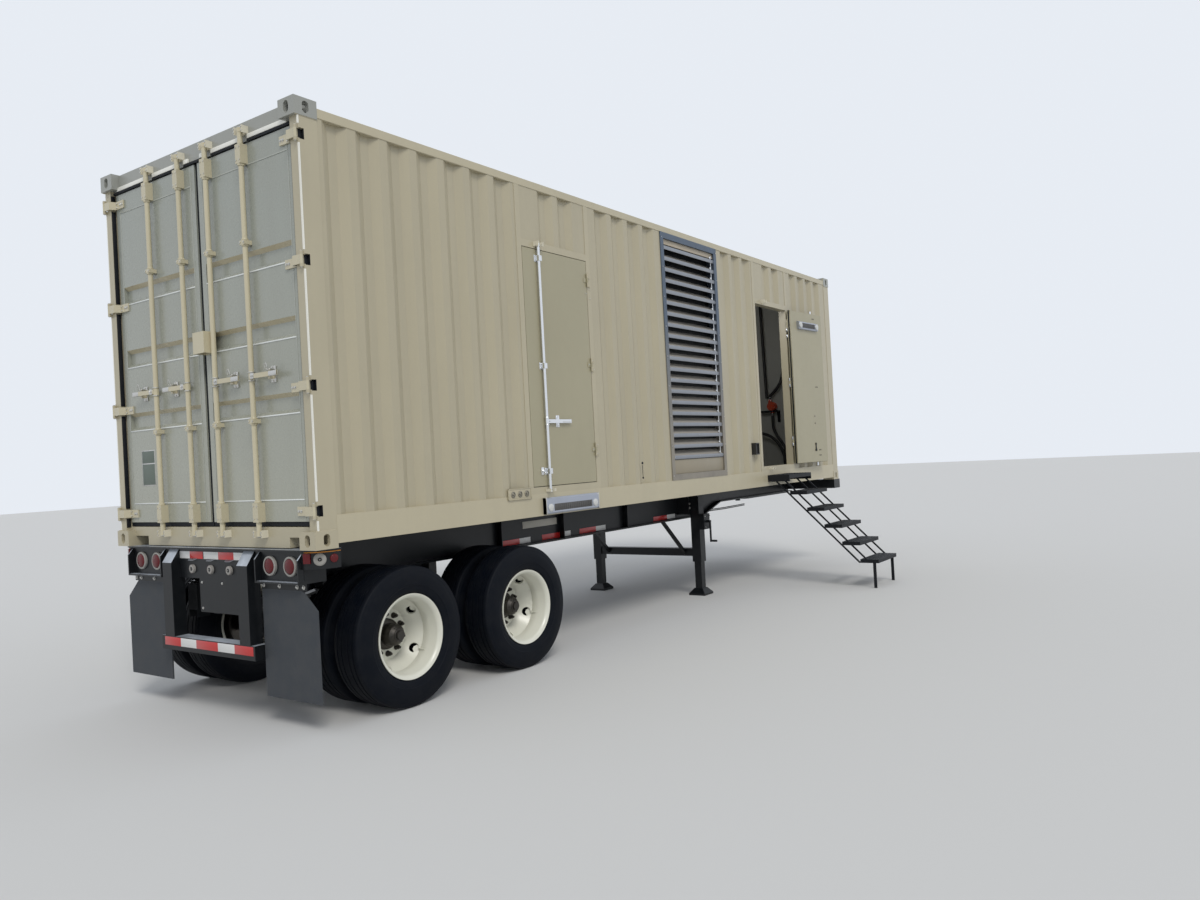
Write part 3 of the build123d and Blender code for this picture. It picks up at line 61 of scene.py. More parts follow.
# Camera, fitted to the photograph
EYE = spot(-3.643, -6.014, 0.497)
AZIMUTH, ELEVATION, ROLL = radians(54.834), radians(0.438), radians(-3.037)
SENSOR_WIDTH, FOCAL_SHARE = 36.0, 909.8 / 1200.0
ahead = Vector((
    sin(AZIMUTH) * cos(ELEVATION), cos(AZIMUTH) * cos(ELEVATION), sin(ELEVATION)))
right = ahead.cross(Vector((0, 0, 1))).normalized()
upward = right.cross(ahead)
rolled_right = right * cos(ROLL) + upward * sin(ROLL)
rolled_up = upward * cos(ROLL) - right * sin(ROLL)
camera_data = bpy.data.cameras.new("camera")
camera_data.sensor_width = SENSOR_WIDTH
camera_data.lens = SENSOR_WIDTH * FOCAL_SHARE
camera_data.clip_end = 200.0
camera = bpy.data.objects.new("camera", camera_data)
scene.collection.objects.link(camera)
turn = Matrix((rolled_right, rolled_up, -ahead)).transposed()
camera.matrix_world = Matrix.Translation(EYE) @ turn.to_4x4()
scene.camera = camera

# Materials


def rgba(colour):
    return (*colour, 1.0)


def shade(colour, factor):
    return tuple(min(1.0, part * factor) for part in colour)


class Shader:
    """A material with short calls for its nodes."""

    def __init__(self, name):
        self.material = bpy.data.materials.new(name)
        self.material.use_nodes = True
        self.tree = self.material.node_tree
        self.body = self.tree.nodes["Principled BSDF"]
        self.place = self.node("ShaderNodeTexCoord").outputs["Object"]

    def node(self, kind, **inputs):
        made = self.tree.nodes.new(kind)
        for key, value in inputs.items():
            self.feed(made.inputs[key.replace("_", " ")], value)
        return made

    def feed(self, socket, value):
        if isinstance(value, bpy.types.NodeSocket):
            self.tree.links.new(value, socket)
        else:
            socket.default_value = value

    def set(self, **values):
        for key, value in values.items():
            self.feed(self.body.inputs[key.replace("_", " ")], value)

    def stretched(self, factors):
        made = self.node("ShaderNodeMapping", Scale=factors)
        self.tree.links.new(self.place, made.inputs["Vector"])
        return made.outputs["Vector"]

    def noise(self, scale, detail=3.0, roughness=0.55, place=None):
        made = self.node("ShaderNodeTexNoise", Scale=scale, Detail=detail, Roughness=roughness)
        self.tree.links.new(place or self.place, made.inputs["Vector"])
        return made.outputs["Fac"]

    def cells(self, scale):
        return self.node("ShaderNodeTexVoronoi", Scale=scale).outputs["Distance"]

    def ramp(self, source, low, high, first=(0, 0, 0), last=(1, 1, 1)):
        made = self.node("ShaderNodeValToRGB", Fac=source)
        ends = made.color_ramp.elements
        ends[0].position, ends[0].color = low, rgba(first)
        ends[1].position, ends[1].color = high, rgba(last)
        return made.outputs["Color"]

    def blend(self, factor, first, second):
        made = self.tree.nodes.new("ShaderNodeMix")
        made.data_type = "RGBA"
        self.feed(made.inputs[0], factor)
        for number, colour in ((6, first), (7, second)):
            self.feed(made.inputs[number], rgba(colour) if isinstance(colour, tuple) else colour)
        return made.outputs[2]

    def maths(self, operation, first, second=0.0):
        made = self.tree.nodes.new("ShaderNodeMath")
        made.operation = operation
        self.feed(made.inputs[0], first)
        self.feed(made.inputs[1], second)
        return made.outputs[0]

    def times(self, first, second):
        return self.maths("MULTIPLY", first, second)

    def sheen(self, film, share, roughness):
        """Roughness that rises where a film lies."""
        self.set(Roughness=self.maths("ADD", self.times(film, share), roughness))

    def axes(self, vector=None):
        """The three parts of a vector, or else of the place on the object."""
        return self.node("ShaderNodeSeparateXYZ", Vector=vector or self.place).outputs

    def facing(self):
        """How far a face looks up, from 1 to -1."""
        return self.axes(self.node("ShaderNodeNewGeometry").outputs["Normal"])[2]

    def climb(self, low, reach):
        """Runs from 0 to 1 between two heights over the container's underside."""
        return self.maths("DIVIDE", self.maths("SUBTRACT", self.axes()[2], up(low)), reach)

    def bump(self, height, strength, distance=0.001):
        made = self.node("ShaderNodeBump", Strength=strength, Distance=distance, Height=height)
        self.tree.links.new(made.outputs["Normal"], self.body.inputs["Normal"])

    def broad(self):
        return self.ramp(self.noise(0.9, 4), 0.3, 0.7)

    def streaks(self):
        return self.ramp(self.noise(5.0, 5, 0.6, self.stretched((1, 1, 0.12))), 0.42, 0.75)

    def spots(self):
        return self.ramp(self.noise(7.0, 5, 0.65), 0.35, 0.75)

    def dust(self):
        return self.ramp(self.noise(14.0, 6, 0.7), 0.45, 0.8)

    def road_dust(self):
        return self.ramp(self.noise(9.0, 7, 0.7), 0.4, 0.85)

    def sprayed(self, base, film, roughness, coat, coat_roughness=0.2, specular=0.5, grain=0.05):
        """Ends a paint: its colour, its sheen under a dust film, and an orange-peel skin."""
        self.sheen(film, 0.12, roughness)
        self.set(
            Base_Color=base, Coat_Weight=coat, Coat_Roughness=coat_roughness,
            Specular_IOR_Level=specular)
        self.bump(self.noise(260.0, 2), grain, 0.0004)
        return self.material


def painted(
        name, colour, roughness=0.4, coat=0.15, streak=0.12, dust=0.1, grain=0.05, specular=0.5):
    """Sprayed paint with slight streaks down from edges, a dust film and an orange-peel skin."""
    s = Shader(name)
    base = s.blend(s.broad(), shade(colour, 1.03), shade(colour, 0.96))
    base = s.blend(s.times(s.streaks(), streak), base, shade(colour, 0.62))
    film = s.dust()
    base = s.blend(s.times(film, dust), base, tuple(0.5 * part + 0.12 for part in colour))
    return s.sprayed(base, film, roughness, coat, 0.25, specular, grain)


def metal(name, colour, roughness=0.35, brushed=(1, 1, 1), grain=0.12, mottled=0.15):
    """Bare metal with a brushed or mottled skin."""
    s = Shader(name)
    lines = s.noise(90.0, 3, 0.6, s.stretched(brushed))
    base = s.blend(s.times(s.spots(), mottled), colour, shade(colour, 0.6))
    s.set(Base_Color=base, Metallic=1.0)
    s.sheen(lines, 0.18, roughness - 0.08)
    s.bump(lines, grain, 0.0003)
    return s.material


def rubbery(name, colour, roughness, dust, grain=0.2, specular=0.5):
    """Rubber with road dust in its low spots."""
    s = Shader(name)
    film = s.road_dust()
    s.set(Base_Color=s.blend(s.times(film, dust), colour, ROAD_DUST), Specular_IOR_Level=specular)
    s.sheen(film, 0.15, roughness)
    s.bump(s.noise(180.0, 3), grain, 0.0005)
    return s.material


ROAD_DUST = (0.3, 0.27, 0.22)
SAND = (0.455, 0.408, 0.285)
BLACK = (0.0062, 0.0075, 0.009)
BLACK_PLASTIC = (0.015, 0.015, 0.016)
paint = painted("container_paint", SAND, 0.38, 0.2)
leaf_paint = painted("side_leaf_paint", (0.36, 0.328, 0.215), 0.36, 0.25, 0.08, 0.06)
inner_paint = painted("inner_paint", (0.45, 0.45, 0.41), 0.55, 0.0, 0.1, 0.2)
# The walls take a darker copy of the sand paint, a painted shade, and the side rails a lighter
# copy, a painted light on the rails.
wall_shaded_paint = painted("wall_shaded_paint", shade(SAND, 0.945), 0.38, 0.2, 0.16, 0.1)
rail_lit_paint = painted("rail_lit_paint", shade(SAND, 1.07), 0.38, 0.2)
# A grey a little lighter than the leaves: a painted highlight along their border and crease.
seam_highlight_paint = painted("seam_highlight_paint", (0.4, 0.415, 0.37), 0.3, 0.4, 0.08, 0.05)
baffle_paint = painted("baffle_paint", (0.44, 0.38, 0.29), 0.5, 0.05, 0.2, 0.2)
blade_paint = painted("blade_paint", (0.39, 0.365, 0.325), 0.42, 0.2, 0.15, 0.3)
# Rods: a tan lighter than the container's, partly their paint and partly painted light that the
# rods catch.
rod_paint = painted("rod_paint", (0.56, 0.505, 0.35), 0.33, 0.3, 0.12, 0.06)
# Near white: a painted highlight, used on the rain strips and the rolled corners of the posts.
trim_highlight_paint = painted("trim_highlight_paint", (0.84, 0.83, 0.76), 0.3, 0.4, 0.08, 0.05)
# Near white with a cool cast: painted highlights along the folds under the door's grooves.
fold_glint_paint = painted("fold_glint_paint", (0.76, 0.78, 0.76), 0.3, 0.4, 0.08, 0.05)
# Pale cream for the rod keepers: a painted highlight on them.
keeper_paint = painted("keeper_paint", (0.7, 0.66, 0.53), 0.3, 0.4, 0.08, 0.05)
roof_paint = painted("roof_paint", shade(SAND, 1.02), 0.5, 0.1, 0.05, 0.3)
panel_paint = painted("panel_paint", (0.3, 0.262, 0.19), 0.45, 0.1, 0.1, 0.15)
black_paint = painted("chassis_paint", BLACK, 0.34, 0.12, 0.1, 0.03, specular=0.3)
stair_paint = painted(
    "stair_paint", (0.0085, 0.01, 0.013), 0.5, 0.0, 0.1, 0.05, specular=0.25)
orange_paint = painted("lock_post_paint", (0.8, 0.3, 0.03), 0.4, 0.2)
white_paint = painted("wheel_paint", (0.7, 0.695, 0.6), 0.28, 0.5, 0.06, 0.05)
plate_green = painted("plate_green", (0.12, 0.15, 0.125), 0.5, 0.05, 0.1, 0.2)
pale_plate = painted("pale_plate", (0.5, 0.48, 0.42), 0.45, 0.1, 0.15, 0.2)
pump_paint = painted("pump_paint", (0.62, 0.075, 0.025), 0.35, 0.3)
lip_metal = metal("lip_metal", (0.335, 0.35, 0.375), 0.42, (0.2, 6, 6), 0.08, 0.2)
lamp_metal = metal("lamp_metal", (0.48, 0.51, 0.58), 0.34, (0.3, 5, 5), 0.08, 0.2)
screen_and_shade_metal = metal("screen_and_shade_metal", (0.045, 0.047, 0.05), 0.6, (60, 60, 60), 0.3, 0.3)
bright_metal = metal("bright_steel", (0.8, 0.81, 0.82), 0.2, (5, 5, 0.4), 0.05, 0.08)
zinc_metal = metal("zinc_steel", (0.62, 0.61, 0.58), 0.36, (2, 2, 2), 0.1, 0.2)
dark_metal = metal("dark_metal", (0.16, 0.155, 0.15), 0.5, (2, 2, 2), 0.1, 0.3)
plug_metal = metal("plug_metal", (0.3, 0.28, 0.23), 0.45, (2, 2, 2), 0.1, 0.3)
hub_metal = metal("hub_metal", (0.075, 0.07, 0.064), 0.48, (3, 3, 3), 0.15, 0.4)
black_rubber = rubbery("door_rubber", (0.008, 0.01, 0.014), 0.6, 0.04, specular=0.25)
ring_rubber = rubbery("lamp_ring_rubber", (0.3, 0.29, 0.27), 0.6, 0.2, 0.1)
flap_rubber = rubbery("flap_rubber", (0.05, 0.056, 0.064), 0.6, 0.1, 0.2, specular=0.25)
hose_rubber = rubbery("hose_rubber", BLACK_PLASTIC, 0.5, 0.1, 0.15)
socket_plastic = rubbery("socket_plastic", BLACK_PLASTIC, 0.45, 0.08, 0.1)


def tyre_material():
    """Dark rubber with dust low on the walls and fine sipes across the tread's ribs."""
    tread_radius, sipes_share, rings_a_metre = 0.491, 75.0, 90.0
    s = Shader("tyre_rubber")
    film = s.road_dust()
    base = s.blend(s.times(film, 0.09), (0.0022, 0.0038, 0.0075), (0.08, 0.075, 0.066))
    x, _, z = s.axes()
    around = s.maths("ARCTAN2", z, x)
    slits = s.maths("PINGPONG", s.times(around, sipes_share), 0.5)
    radius = s.maths("SQRT", s.maths("ADD", s.maths("POWER", x, 2.0), s.maths("POWER", z, 2.0)))
    tread = s.maths("GREATER_THAN", radius, tread_radius)
    rings = s.maths("PINGPONG", s.times(radius, rings_a_metre), 0.5)
    cut = s.times(s.maths("LESS_THAN", slits, 0.07), tread)
    walls = s.times(s.maths("SUBTRACT", 1.0, tread), rings)
    s.set(Base_Color=base, Specular_IOR_Level=0.12)
    s.sheen(film, 0.15, 0.55)
    height = s.maths("SUBTRACT", s.times(walls, 0.35), s.times(cut, 2.0))
    s.bump(s.maths("ADD", height, s.times(s.noise(180.0, 3), 0.2)), 0.6, 0.001)
    return s.material


def door_material():
    """Leaves painted grey, paler at the foot and darker and bluer at the head, as a painted sky
    reflection; faces that look down keep a tan, and the sleeves, guides and hinge straps proud of
    the leaf are a lighter tan like the rods.
    """
    s = Shader("cargo_door_paint")
    # Painted sky reflection: the leaves' grey, paler at the foot and darker towards the head.
    grey = s.ramp(s.climb(0.2, 2.5), 0.0, 1.0, (0.375, 0.38, 0.312), (0.295, 0.318, 0.284))
    grey = s.blend(s.times(s.broad(), 0.5), grey, (0.305, 0.312, 0.262))
    # Faces that look down, where the painted sky reflection stops, keep a tan.
    under = s.ramp(s.times(s.facing(), -1.0), 0.2, 0.6)
    grey = s.blend(under, grey, (0.48, 0.42, 0.28))
    # Parts proud of the leaf take the rods' lighter tan, partly painted light.
    proud = s.maths("LESS_THAN", s.axes()[0], at(0.0575))
    base = s.blend(proud, grey, (0.54, 0.488, 0.34))
    base = s.blend(s.times(s.streaks(), 0.1), base, (0.2, 0.19, 0.15))
    return s.sprayed(base, s.dust(), 0.26, 0.45)


def frame_material():
    """Aluminium that turns from slate at the louvre's head to tan at its foot."""
    s = Shader("louvre_frame_metal")
    base = s.ramp(s.climb(0.3, 2.2), 0.15, 0.75, (0.33, 0.3, 0.25), (0.115, 0.15, 0.2))
    base = s.blend(s.times(s.spots(), 0.3), base, (0.1, 0.1, 0.1))
    lines = s.noise(90.0, 3, 0.6, s.stretched((4, 4, 0.3)))
    s.set(Base_Color=base, Metallic=0.7)
    s.sheen(lines, 0.18, 0.36)
    s.bump(lines, 0.1, 0.0003)
    return s.material


def head_material():
    """Container paint that turns greyer on the parts above the doors."""
    s = Shader("head_paint")
    film = s.dust()
    high = s.maths("GREATER_THAN", s.axes()[2], up(2.7))
    base = s.blend(high, SAND, (0.307, 0.315, 0.288))
    base = s.blend(s.times(s.broad(), 0.12), base, (0.3, 0.28, 0.21))
    base = s.blend(s.times(film, 0.1), base, (0.33, 0.31, 0.25))
    return s.sprayed(base, film, 0.34, 0.25)


def chassis_material():
    """Chassis paint whose upward faces are painted pale blue-grey in patches, a painted sky
    reflection, over a faint dust film.
    """
    s = Shader("rear_chassis_paint")
    film = s.dust()
    # Painted sky reflection on faces that look up, broken into patches.
    lit = s.times(s.ramp(s.facing(), 0.35, 0.55), s.ramp(s.noise(3.0, 5, 0.6), 0.1, 0.6))
    base = s.blend(s.times(film, 0.03), BLACK, (0.12, 0.12, 0.12))
    base = s.blend(s.times(lit, 0.85), base, (0.56, 0.61, 0.68))
    return s.sprayed(base, film, 0.34, 0.12, 0.25, 0.3)


def lens_material(name, colour, coat):
    """A moulded lens with fine cells under a glossy face."""
    s = Shader(name)
    ribs = s.cells(140.0)
    s.set(
        Base_Color=s.blend(ribs, colour, shade(colour, 0.55)), Roughness=0.22, Coat_Weight=coat,
        Coat_Roughness=0.05, Specular_IOR_Level=0.3)
    s.bump(ribs, 0.3, 0.001)
    return s.material


def tape_material(name, colour):
    """Retroreflective tape: fine cells under a clear face."""
    s = Shader(name)
    wear = s.ramp(s.noise(30.0, 5, 0.7), 0.6, 0.85)
    base = s.blend(s.times(s.cells(260.0), 0.35), colour, shade(colour, 0.7))
    base = s.blend(s.times(wear, 0.25), base, (0.2, 0.19, 0.17))
    s.set(Base_Color=base, Roughness=0.3, Coat_Weight=0.4, Coat_Roughness=0.15)
    return s.material


def floor_plate_material():
    """Chequered steel under a worn film."""
    s = Shader("floor_plate")
    film = s.ramp(s.noise(3.0, 6, 0.7), 0.35, 0.8)
    s.set(Base_Color=s.blend(film, (0.1, 0.1, 0.1), (0.22, 0.21, 0.19)))
    s.set(Metallic=0.6, Roughness=0.5)
    s.bump(s.node("ShaderNodeTexChecker", Scale=60.0).outputs["Fac"], 0.3, 0.002)
    return s.material


tyre_rubber = tyre_material()
door_dress = door_material()
head_paint = head_material()
edge_paint = chassis_material()
frame_metal = frame_material()
red_lens = lens_material("red_lens", (0.135, 0.005, 0.008), 0.15)
white_lens = lens_material("white_lens", (0.75, 0.76, 0.74), 0.6)
red_tape = tape_material("red_tape", (0.55, 0.02, 0.018))
white_tape = tape_material("white_tape", (0.72, 0.72, 0.7))
floor_plate = floor_plate_material()

# Dress the nodes of the model
dress = {
    paint: "corner_posts side_door_frames",
    head_paint: "corner_castings end_rails",
    wall_shaded_paint: "right_wall left_wall front_wall",
    rail_lit_paint: "side_rails",
    edge_paint: "rear_bolster underride_guard",
    leaf_paint: "side_door access_door",
    roof_paint: "roof_panel",
    keeper_paint: "rod_keepers",
    door_dress: "cargo_door_right cargo_door_left",
    rod_paint: (
        "lock_rod_right_outer lock_rod_right_inner lock_rod_left_inner lock_rod_left_outer "
        "lock_box"),
    blade_paint: "louvre_blades_right louvre_blades_left",
    lamp_metal: "rail_lamp access_door_lamp",
    frame_metal: "louvre_frames",
    bright_metal: "side_door_rod side_door_brackets access_door_rod",
    black_rubber: "door_gasket_right door_gasket_left",
    floor_plate: "floor_deck",
    black_paint: (
        "main_beams cross_members spring_hangers leaf_springs axles leg_housings leg_frame "
        "landing_leg_right landing_leg_left upper_coupler pump_bracket"),
    stair_paint: "stair stair_landing",
    orange_paint: "lock_posts",
    flap_rubber: "mud_flaps",
    red_lens: "tail_lamps",
    hose_rubber: "fuel_hoses",
    pump_paint: "fuel_pump",
    socket_plastic: "power_socket",
}
for material, names in dress.items():
    for name in names.split():
        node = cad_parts[name]
        if not node.material_slots:
            node.data.materials.append(material)
        for slot in node.material_slots:
            slot.material = material

# Mesh code for the pieces
BACKWARD, FORWARD = Vector((-1, 0, 0)), Vector((1, 0, 0))
RIGHTWARD, LEFTWARD = Vector((0, -1, 0)), Vector((0, 1, 0))
UPWARD, DOWNWARD = Vector((0, 0, 1)), Vector((0, 0, -1))
SIDES = ((-1, "right"), (1, "left"))
OTHER_SIDE = Matrix.Diagonal((1, -1, 1, 1))
SHARP = radians(32)


def many(value):
    return value if isinstance(value, (tuple, list)) else (value,)


def around(shift, *middles):
    """The places on both sides of each middle."""
    return [middle + way * shift for middle in middles for way in (-1, 1)]


def ring(inner, outer, thick):
    """The profile of a plain ring, for Form.turned."""
    return [(0, inner), (0, outer), (thick, outer), (thick, inner)]


def radial(degrees):
    """The way out from a wheel's axis at an angle."""
    return Vector((cos(radians(degrees)), 0, sin(radians(degrees))))


class Form:
    """One piece, built from bevelled blocks, turned profiles and bars."""

    def __init__(self):
        self.mesh = bmesh.new()

    def block(self, low, high, bevel):
        """A box between two places on the container, with rounded edges."""
        a, b = spot(*low), spot(*high)
        size = Vector([abs(v) for v in (b - a)])
        place = Matrix.Translation((a + b) / 2) @ Matrix.Diagonal((*size, 1))
        corners = bmesh.ops.create_cube(self.mesh, size=1.0, matrix=place)["verts"]
        edges = list({edge for corner in corners for edge in corner.link_edges})
        bmesh.ops.bevel(
            self.mesh, geom=edges, offset=bevel, segments=2, profile=0.5, affect="EDGES")

    def turned(self, centre, axis, profile, steps=24, closed=True):
        """Turns a profile of (distance along the axis, radius) points about an axis."""
        axis = Vector(axis).normalized()
        side = axis.orthogonal().normalized()
        other = axis.cross(side)
        rings = []
        for number in range(steps):
            angle = 2 * pi * number / steps
            out = side * cos(angle) + other * sin(angle)
            rings.append([
                self.mesh.verts.new(centre + axis * along + out * radius)
                for along, radius in profile])
        for here, there in zip(rings, rings[1:] + rings[:1]):
            for row in range(len(profile) if closed else len(profile) - 1):
                after = (row + 1) % len(profile)
                self.mesh.faces.new((here[row], here[after], there[after], there[row]))
        return rings

    def disc(self, centre, axis, profile, steps=24):
        """As turned, with flat ends where the profile starts and stops."""
        rings = self.turned(centre, axis, profile, steps, closed=False)
        for row in (0, -1):
            self.mesh.faces.new([ring[row] for ring in rings])

    def bar(self, start, end, radius, steps=12):
        length = (end - start).length
        self.disc(start, end - start, [(0, radius), (length, radius)], steps)

    def path(self, points, radius, steps=10):
        """A bent bar or hose through several points."""
        rings = []
        for number, point in enumerate(points):
            before = points[max(number - 1, 0)]
            after = points[min(number + 1, len(points) - 1)]
            ahead = (after - before).normalized()
            side = ahead.orthogonal().normalized() if not rings else (
                side - ahead * side.dot(ahead)).normalized()
            other = ahead.cross(side)
            rings.append([
                self.mesh.verts.new(point + (side * cos(a) + other * sin(a)) * radius)
                for a in (2 * pi * step / steps for step in range(steps))])
        for here, there in zip(rings, rings[1:]):
            for step in range(steps):
                after = (step + 1) % steps
                self.mesh.faces.new((here[step], here[after], there[after], there[step]))
        self.mesh.faces.new(list(reversed(rings[0])))
        self.mesh.faces.new(rings[-1])

    def bolt(self, centre, axis, size, washer=True):
        """A hexagon head on its washer. Its size is the radius of the head."""
        if washer:
            rim = [(0, 1.5 * size), (0.25 * size, 1.5 * size), (0.3 * size, 1.4 * size)]
            self.disc(centre, axis, rim, 16)
        base = 0.25 * size
        head = [(base, size), (base + 0.65 * size, size), (base + 0.8 * size, 0.84 * size)]
        self.disc(centre, axis, head, 6)

    def bolts(self, distances, across, heights, axis, size, washer=True):
        """Bolts wherever the given distances, places across and heights meet."""
        for place in product(many(distances), many(across), many(heights)):
            self.bolt(spot(*place), axis, size, washer)

    def plate(self, outline, thickness, normal):
        """A flat plate of any outline, with its back on the outline's plane."""
        back = [self.mesh.verts.new(point) for point in outline]
        front = [self.mesh.verts.new(point + Vector(normal) * thickness) for point in outline]
        for number in range(len(outline)):
            after = (number + 1) % len(outline)
            self.mesh.faces.new((back[number], back[after], front[after], front[number]))
        self.mesh.faces.new(list(reversed(back)))
        self.mesh.faces.new(front)

    def mirrored(self):
        """Adds the same form on the other side of the centreline."""
        mesh = self.mesh
        copy = bmesh.ops.duplicate(mesh, geom=mesh.verts[:] + mesh.edges[:] + mesh.faces[:])
        verts = [item for item in copy["geom"] if isinstance(item, bmesh.types.BMVert)]
        bmesh.ops.transform(mesh, matrix=OTHER_SIDE, verts=verts)
        return self

    def moved(self, matrix):
        bmesh.ops.transform(self.mesh, matrix=matrix, verts=self.mesh.verts)
        return self

    def done(self, name, material, slot, body="unit", origin=None, flip=False, replaced=()):
        """Writes the mesh as a piece on a body. Flip builds it on the other side instead."""
        if flip:
            self.moved(OTHER_SIDE)
        if origin:
            self.moved(Matrix.Translation(-origin))
        bmesh.ops.recalc_face_normals(self.mesh, faces=self.mesh.faces)
        for face in self.mesh.faces:
            face.smooth = True
        data = bpy.data.meshes.new(name)
        self.mesh.to_mesh(data)
        self.mesh.free()
        data.set_sharp_from_angle(angle=SHARP)
        data.materials.append(material)
        piece = bpy.data.objects.new(name, data)
        scene.collection.objects.link(piece)
        if origin:
            piece.location = origin
        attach(piece, body)
        if replaced:
            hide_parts(*replaced)


def blocks(bevel, *corners):
    """A form of several blocks with the same rounding."""
    form = Form()
    for low, high in corners:
        form.block(low, high, bevel)
    return form


# Wheels: axles, the plane between the tyres of a pair, and the tyres' places beside it
AXLES = (("rear", 0.783), ("front", 2.043))
AXLE_HEIGHT = 0.495 - DECK
PAIR_PLANE = 0.919
TYRE_MIDDLE = 0.165
# Profiles: distances outboard from the middle of a tyre or from the pair's plane, and radii
TYRE_HALF = [
    (0.089, 0.2862), (0.101, 0.294), (0.111, 0.3035), (0.119, 0.316), (0.1225, 0.33),
    (0.1262, 0.35), (0.1272, 0.356), (0.13, 0.359), (0.131, 0.385), (0.1305, 0.412),
    (0.127, 0.44), (0.1245, 0.446), (0.1235, 0.455), (0.12, 0.468), (0.1172, 0.472),
    (0.1165, 0.478), (0.112, 0.4865), (0.105, 0.4915), (0.08, 0.4938), (0.0785, 0.483),
    (0.0705, 0.483), (0.069, 0.4944), (0.0385, 0.495), (0.037, 0.483), (0.029, 0.483),
    (0.0275, 0.495),
]
WHEEL = [
    (0.0, 0.112), (0.011, 0.112), (0.011, 0.186), (0.12, 0.2634), (0.124, 0.2636),
    (0.127, 0.259), (0.134, 0.2565), (0.194, 0.258), (0.204, 0.264), (0.254, 0.266),
    (0.264, 0.2715), (0.274, 0.279), (0.2795, 0.287), (0.282, 0.293), (0.2838, 0.297),
    (0.2838, 0.299), (0.2825, 0.2999), (0.276, 0.2999), (0.2746, 0.2985), (0.274, 0.294),
    (0.272, 0.2885), (0.268, 0.286), (0.08, 0.286), (0.058, 0.2865), (0.056, 0.289),
    (0.055, 0.2985), (0.053, 0.2999), (0.048, 0.2999), (0.0462, 0.2985), (0.047, 0.292),
    (0.05, 0.285), (0.056, 0.279), (0.068, 0.274), (0.101, 0.274), (0.0, 0.1915),
]
HUB = [
    (0.126, 0.072), (0.022, 0.072), (0.011, 0.1095), (-0.011, 0.1095),
    (-0.011, 0.164), (-0.051, 0.205), (-0.23, 0.205), (-0.23, 0.19),
    (-0.066, 0.19), (-0.066, 0.085), (-0.234, 0.085), (-0.234, 0.03),
    (0.1495, 0.03), (0.1495, 0.048),
]
HAND_HOLES, HAND_HOLE_RADIUS, HAND_HOLE_CIRCLE, HAND_HOLE_DEPTH = 5, 0.036, 0.236, 0.0815
HAND_HOLE_STARTS = {"rear": 38, "front": 51}
DISC_RUN, DISC_RISE = 0.109, 0.078
NUTS, NUT_START, NUT_CIRCLE = 10, 21, 0.1429


def punched(form, cutters):
    """A form with the cutters' shapes taken out of it."""
    made = []
    for shape in (form, cutters):
        bmesh.ops.recalc_face_normals(shape.mesh, faces=shape.mesh.faces)
        data = bpy.data.meshes.new("punch")
        shape.mesh.to_mesh(data)
        shape.mesh.free()
        made.append(bpy.data.objects.new("punch", data))
        scene.collection.objects.link(made[-1])
    cut = made[0].modifiers.new("cut", "BOOLEAN")
    cut.operation, cut.object, cut.solver = "DIFFERENCE", made[1], "EXACT"
    seen = made[0].evaluated_get(bpy.context.evaluated_depsgraph_get())
    result = Form()
    result.mesh.from_mesh(seen.to_mesh())
    for thing in made:
        data = thing.data
        bpy.data.objects.remove(thing)
        bpy.data.meshes.remove(data)
    return result


def tyre_pair(origin, out):
    form = Form()
    for middle in (TYRE_MIDDLE, -TYRE_MIDDLE):
        section = [(middle + y, r) for y, r in TYRE_HALF]
        section += [(middle - y, r) for y, r in reversed(TYRE_HALF)]
        form.turned(origin, out, section, 96)
    return form


def wheel_pair(origin, out, start):
    """Both discs with their rims and hand holes, and the valve's stem."""
    wheel, cutters = Form(), Form()
    for way in (out, -out):
        wheel.turned(origin, way, WHEEL, 80)
    half = 0.0165
    for number in range(HAND_HOLES):
        away = radial(start + 360 * number / HAND_HOLES)
        for way in (out, -out):
            centre = origin + away * HAND_HOLE_CIRCLE + way * HAND_HOLE_DEPTH
            axis = (way * DISC_RISE - away * DISC_RUN).normalized()
            cutters.disc(
                centre - axis * half, axis,
                [(0, HAND_HOLE_RADIUS), (2 * half, HAND_HOLE_RADIUS)], 32)
    form = punched(wheel, cutters)
    away = radial(start - 72)
    foot = origin + away * 0.262 + out * 0.118
    form.path(
        [foot, foot - away * 0.016 + out * 0.004, foot - away * 0.02 + out * 0.02,
         foot - away * 0.01 + out * 0.06], 0.004)
    return form


def hub(origin, out):
    """Hub and brake drum, with the wheel's nuts on their studs and the oil cap."""
    form = Form()
    form.turned(origin, out, HUB, 48)
    for number in range(NUTS):
        place = origin + out * 0.011 + radial(NUT_START + 360 / NUTS * number) * NUT_CIRCLE
        form.disc(place, out, [(0, 0.022), (0.004, 0.022), (0.006, 0.0195)], 16)
        form.disc(place, out, [(0.005, 0.0185), (0.024, 0.0185), (0.027, 0.016)], 6)
        form.disc(place, out, [(0.02, 0.0105), (0.042, 0.0105), (0.044, 0.009)], 10)
    form.disc(origin, out, [(0.011, 0.1085), (0.03, 0.1085), (0.036, 0.098), (0.04, 0.078)], 40)
    form.turned(origin, out, [(0.04, 0.0725), (0.05, 0.077), (0.112, 0.077), (0.12, 0.0725)], 40)
    cap = [(0.149, 0.0475), (0.156, 0.0475), (0.158, 0.045), (0.158, 0.034), (0.17, 0.032)]
    form.disc(origin, out, cap, 32)
    for number in range(6):
        form.bolt(origin + out * 0.137 + radial(60 * number) * 0.0585, out, 0.0055, False)
    return form


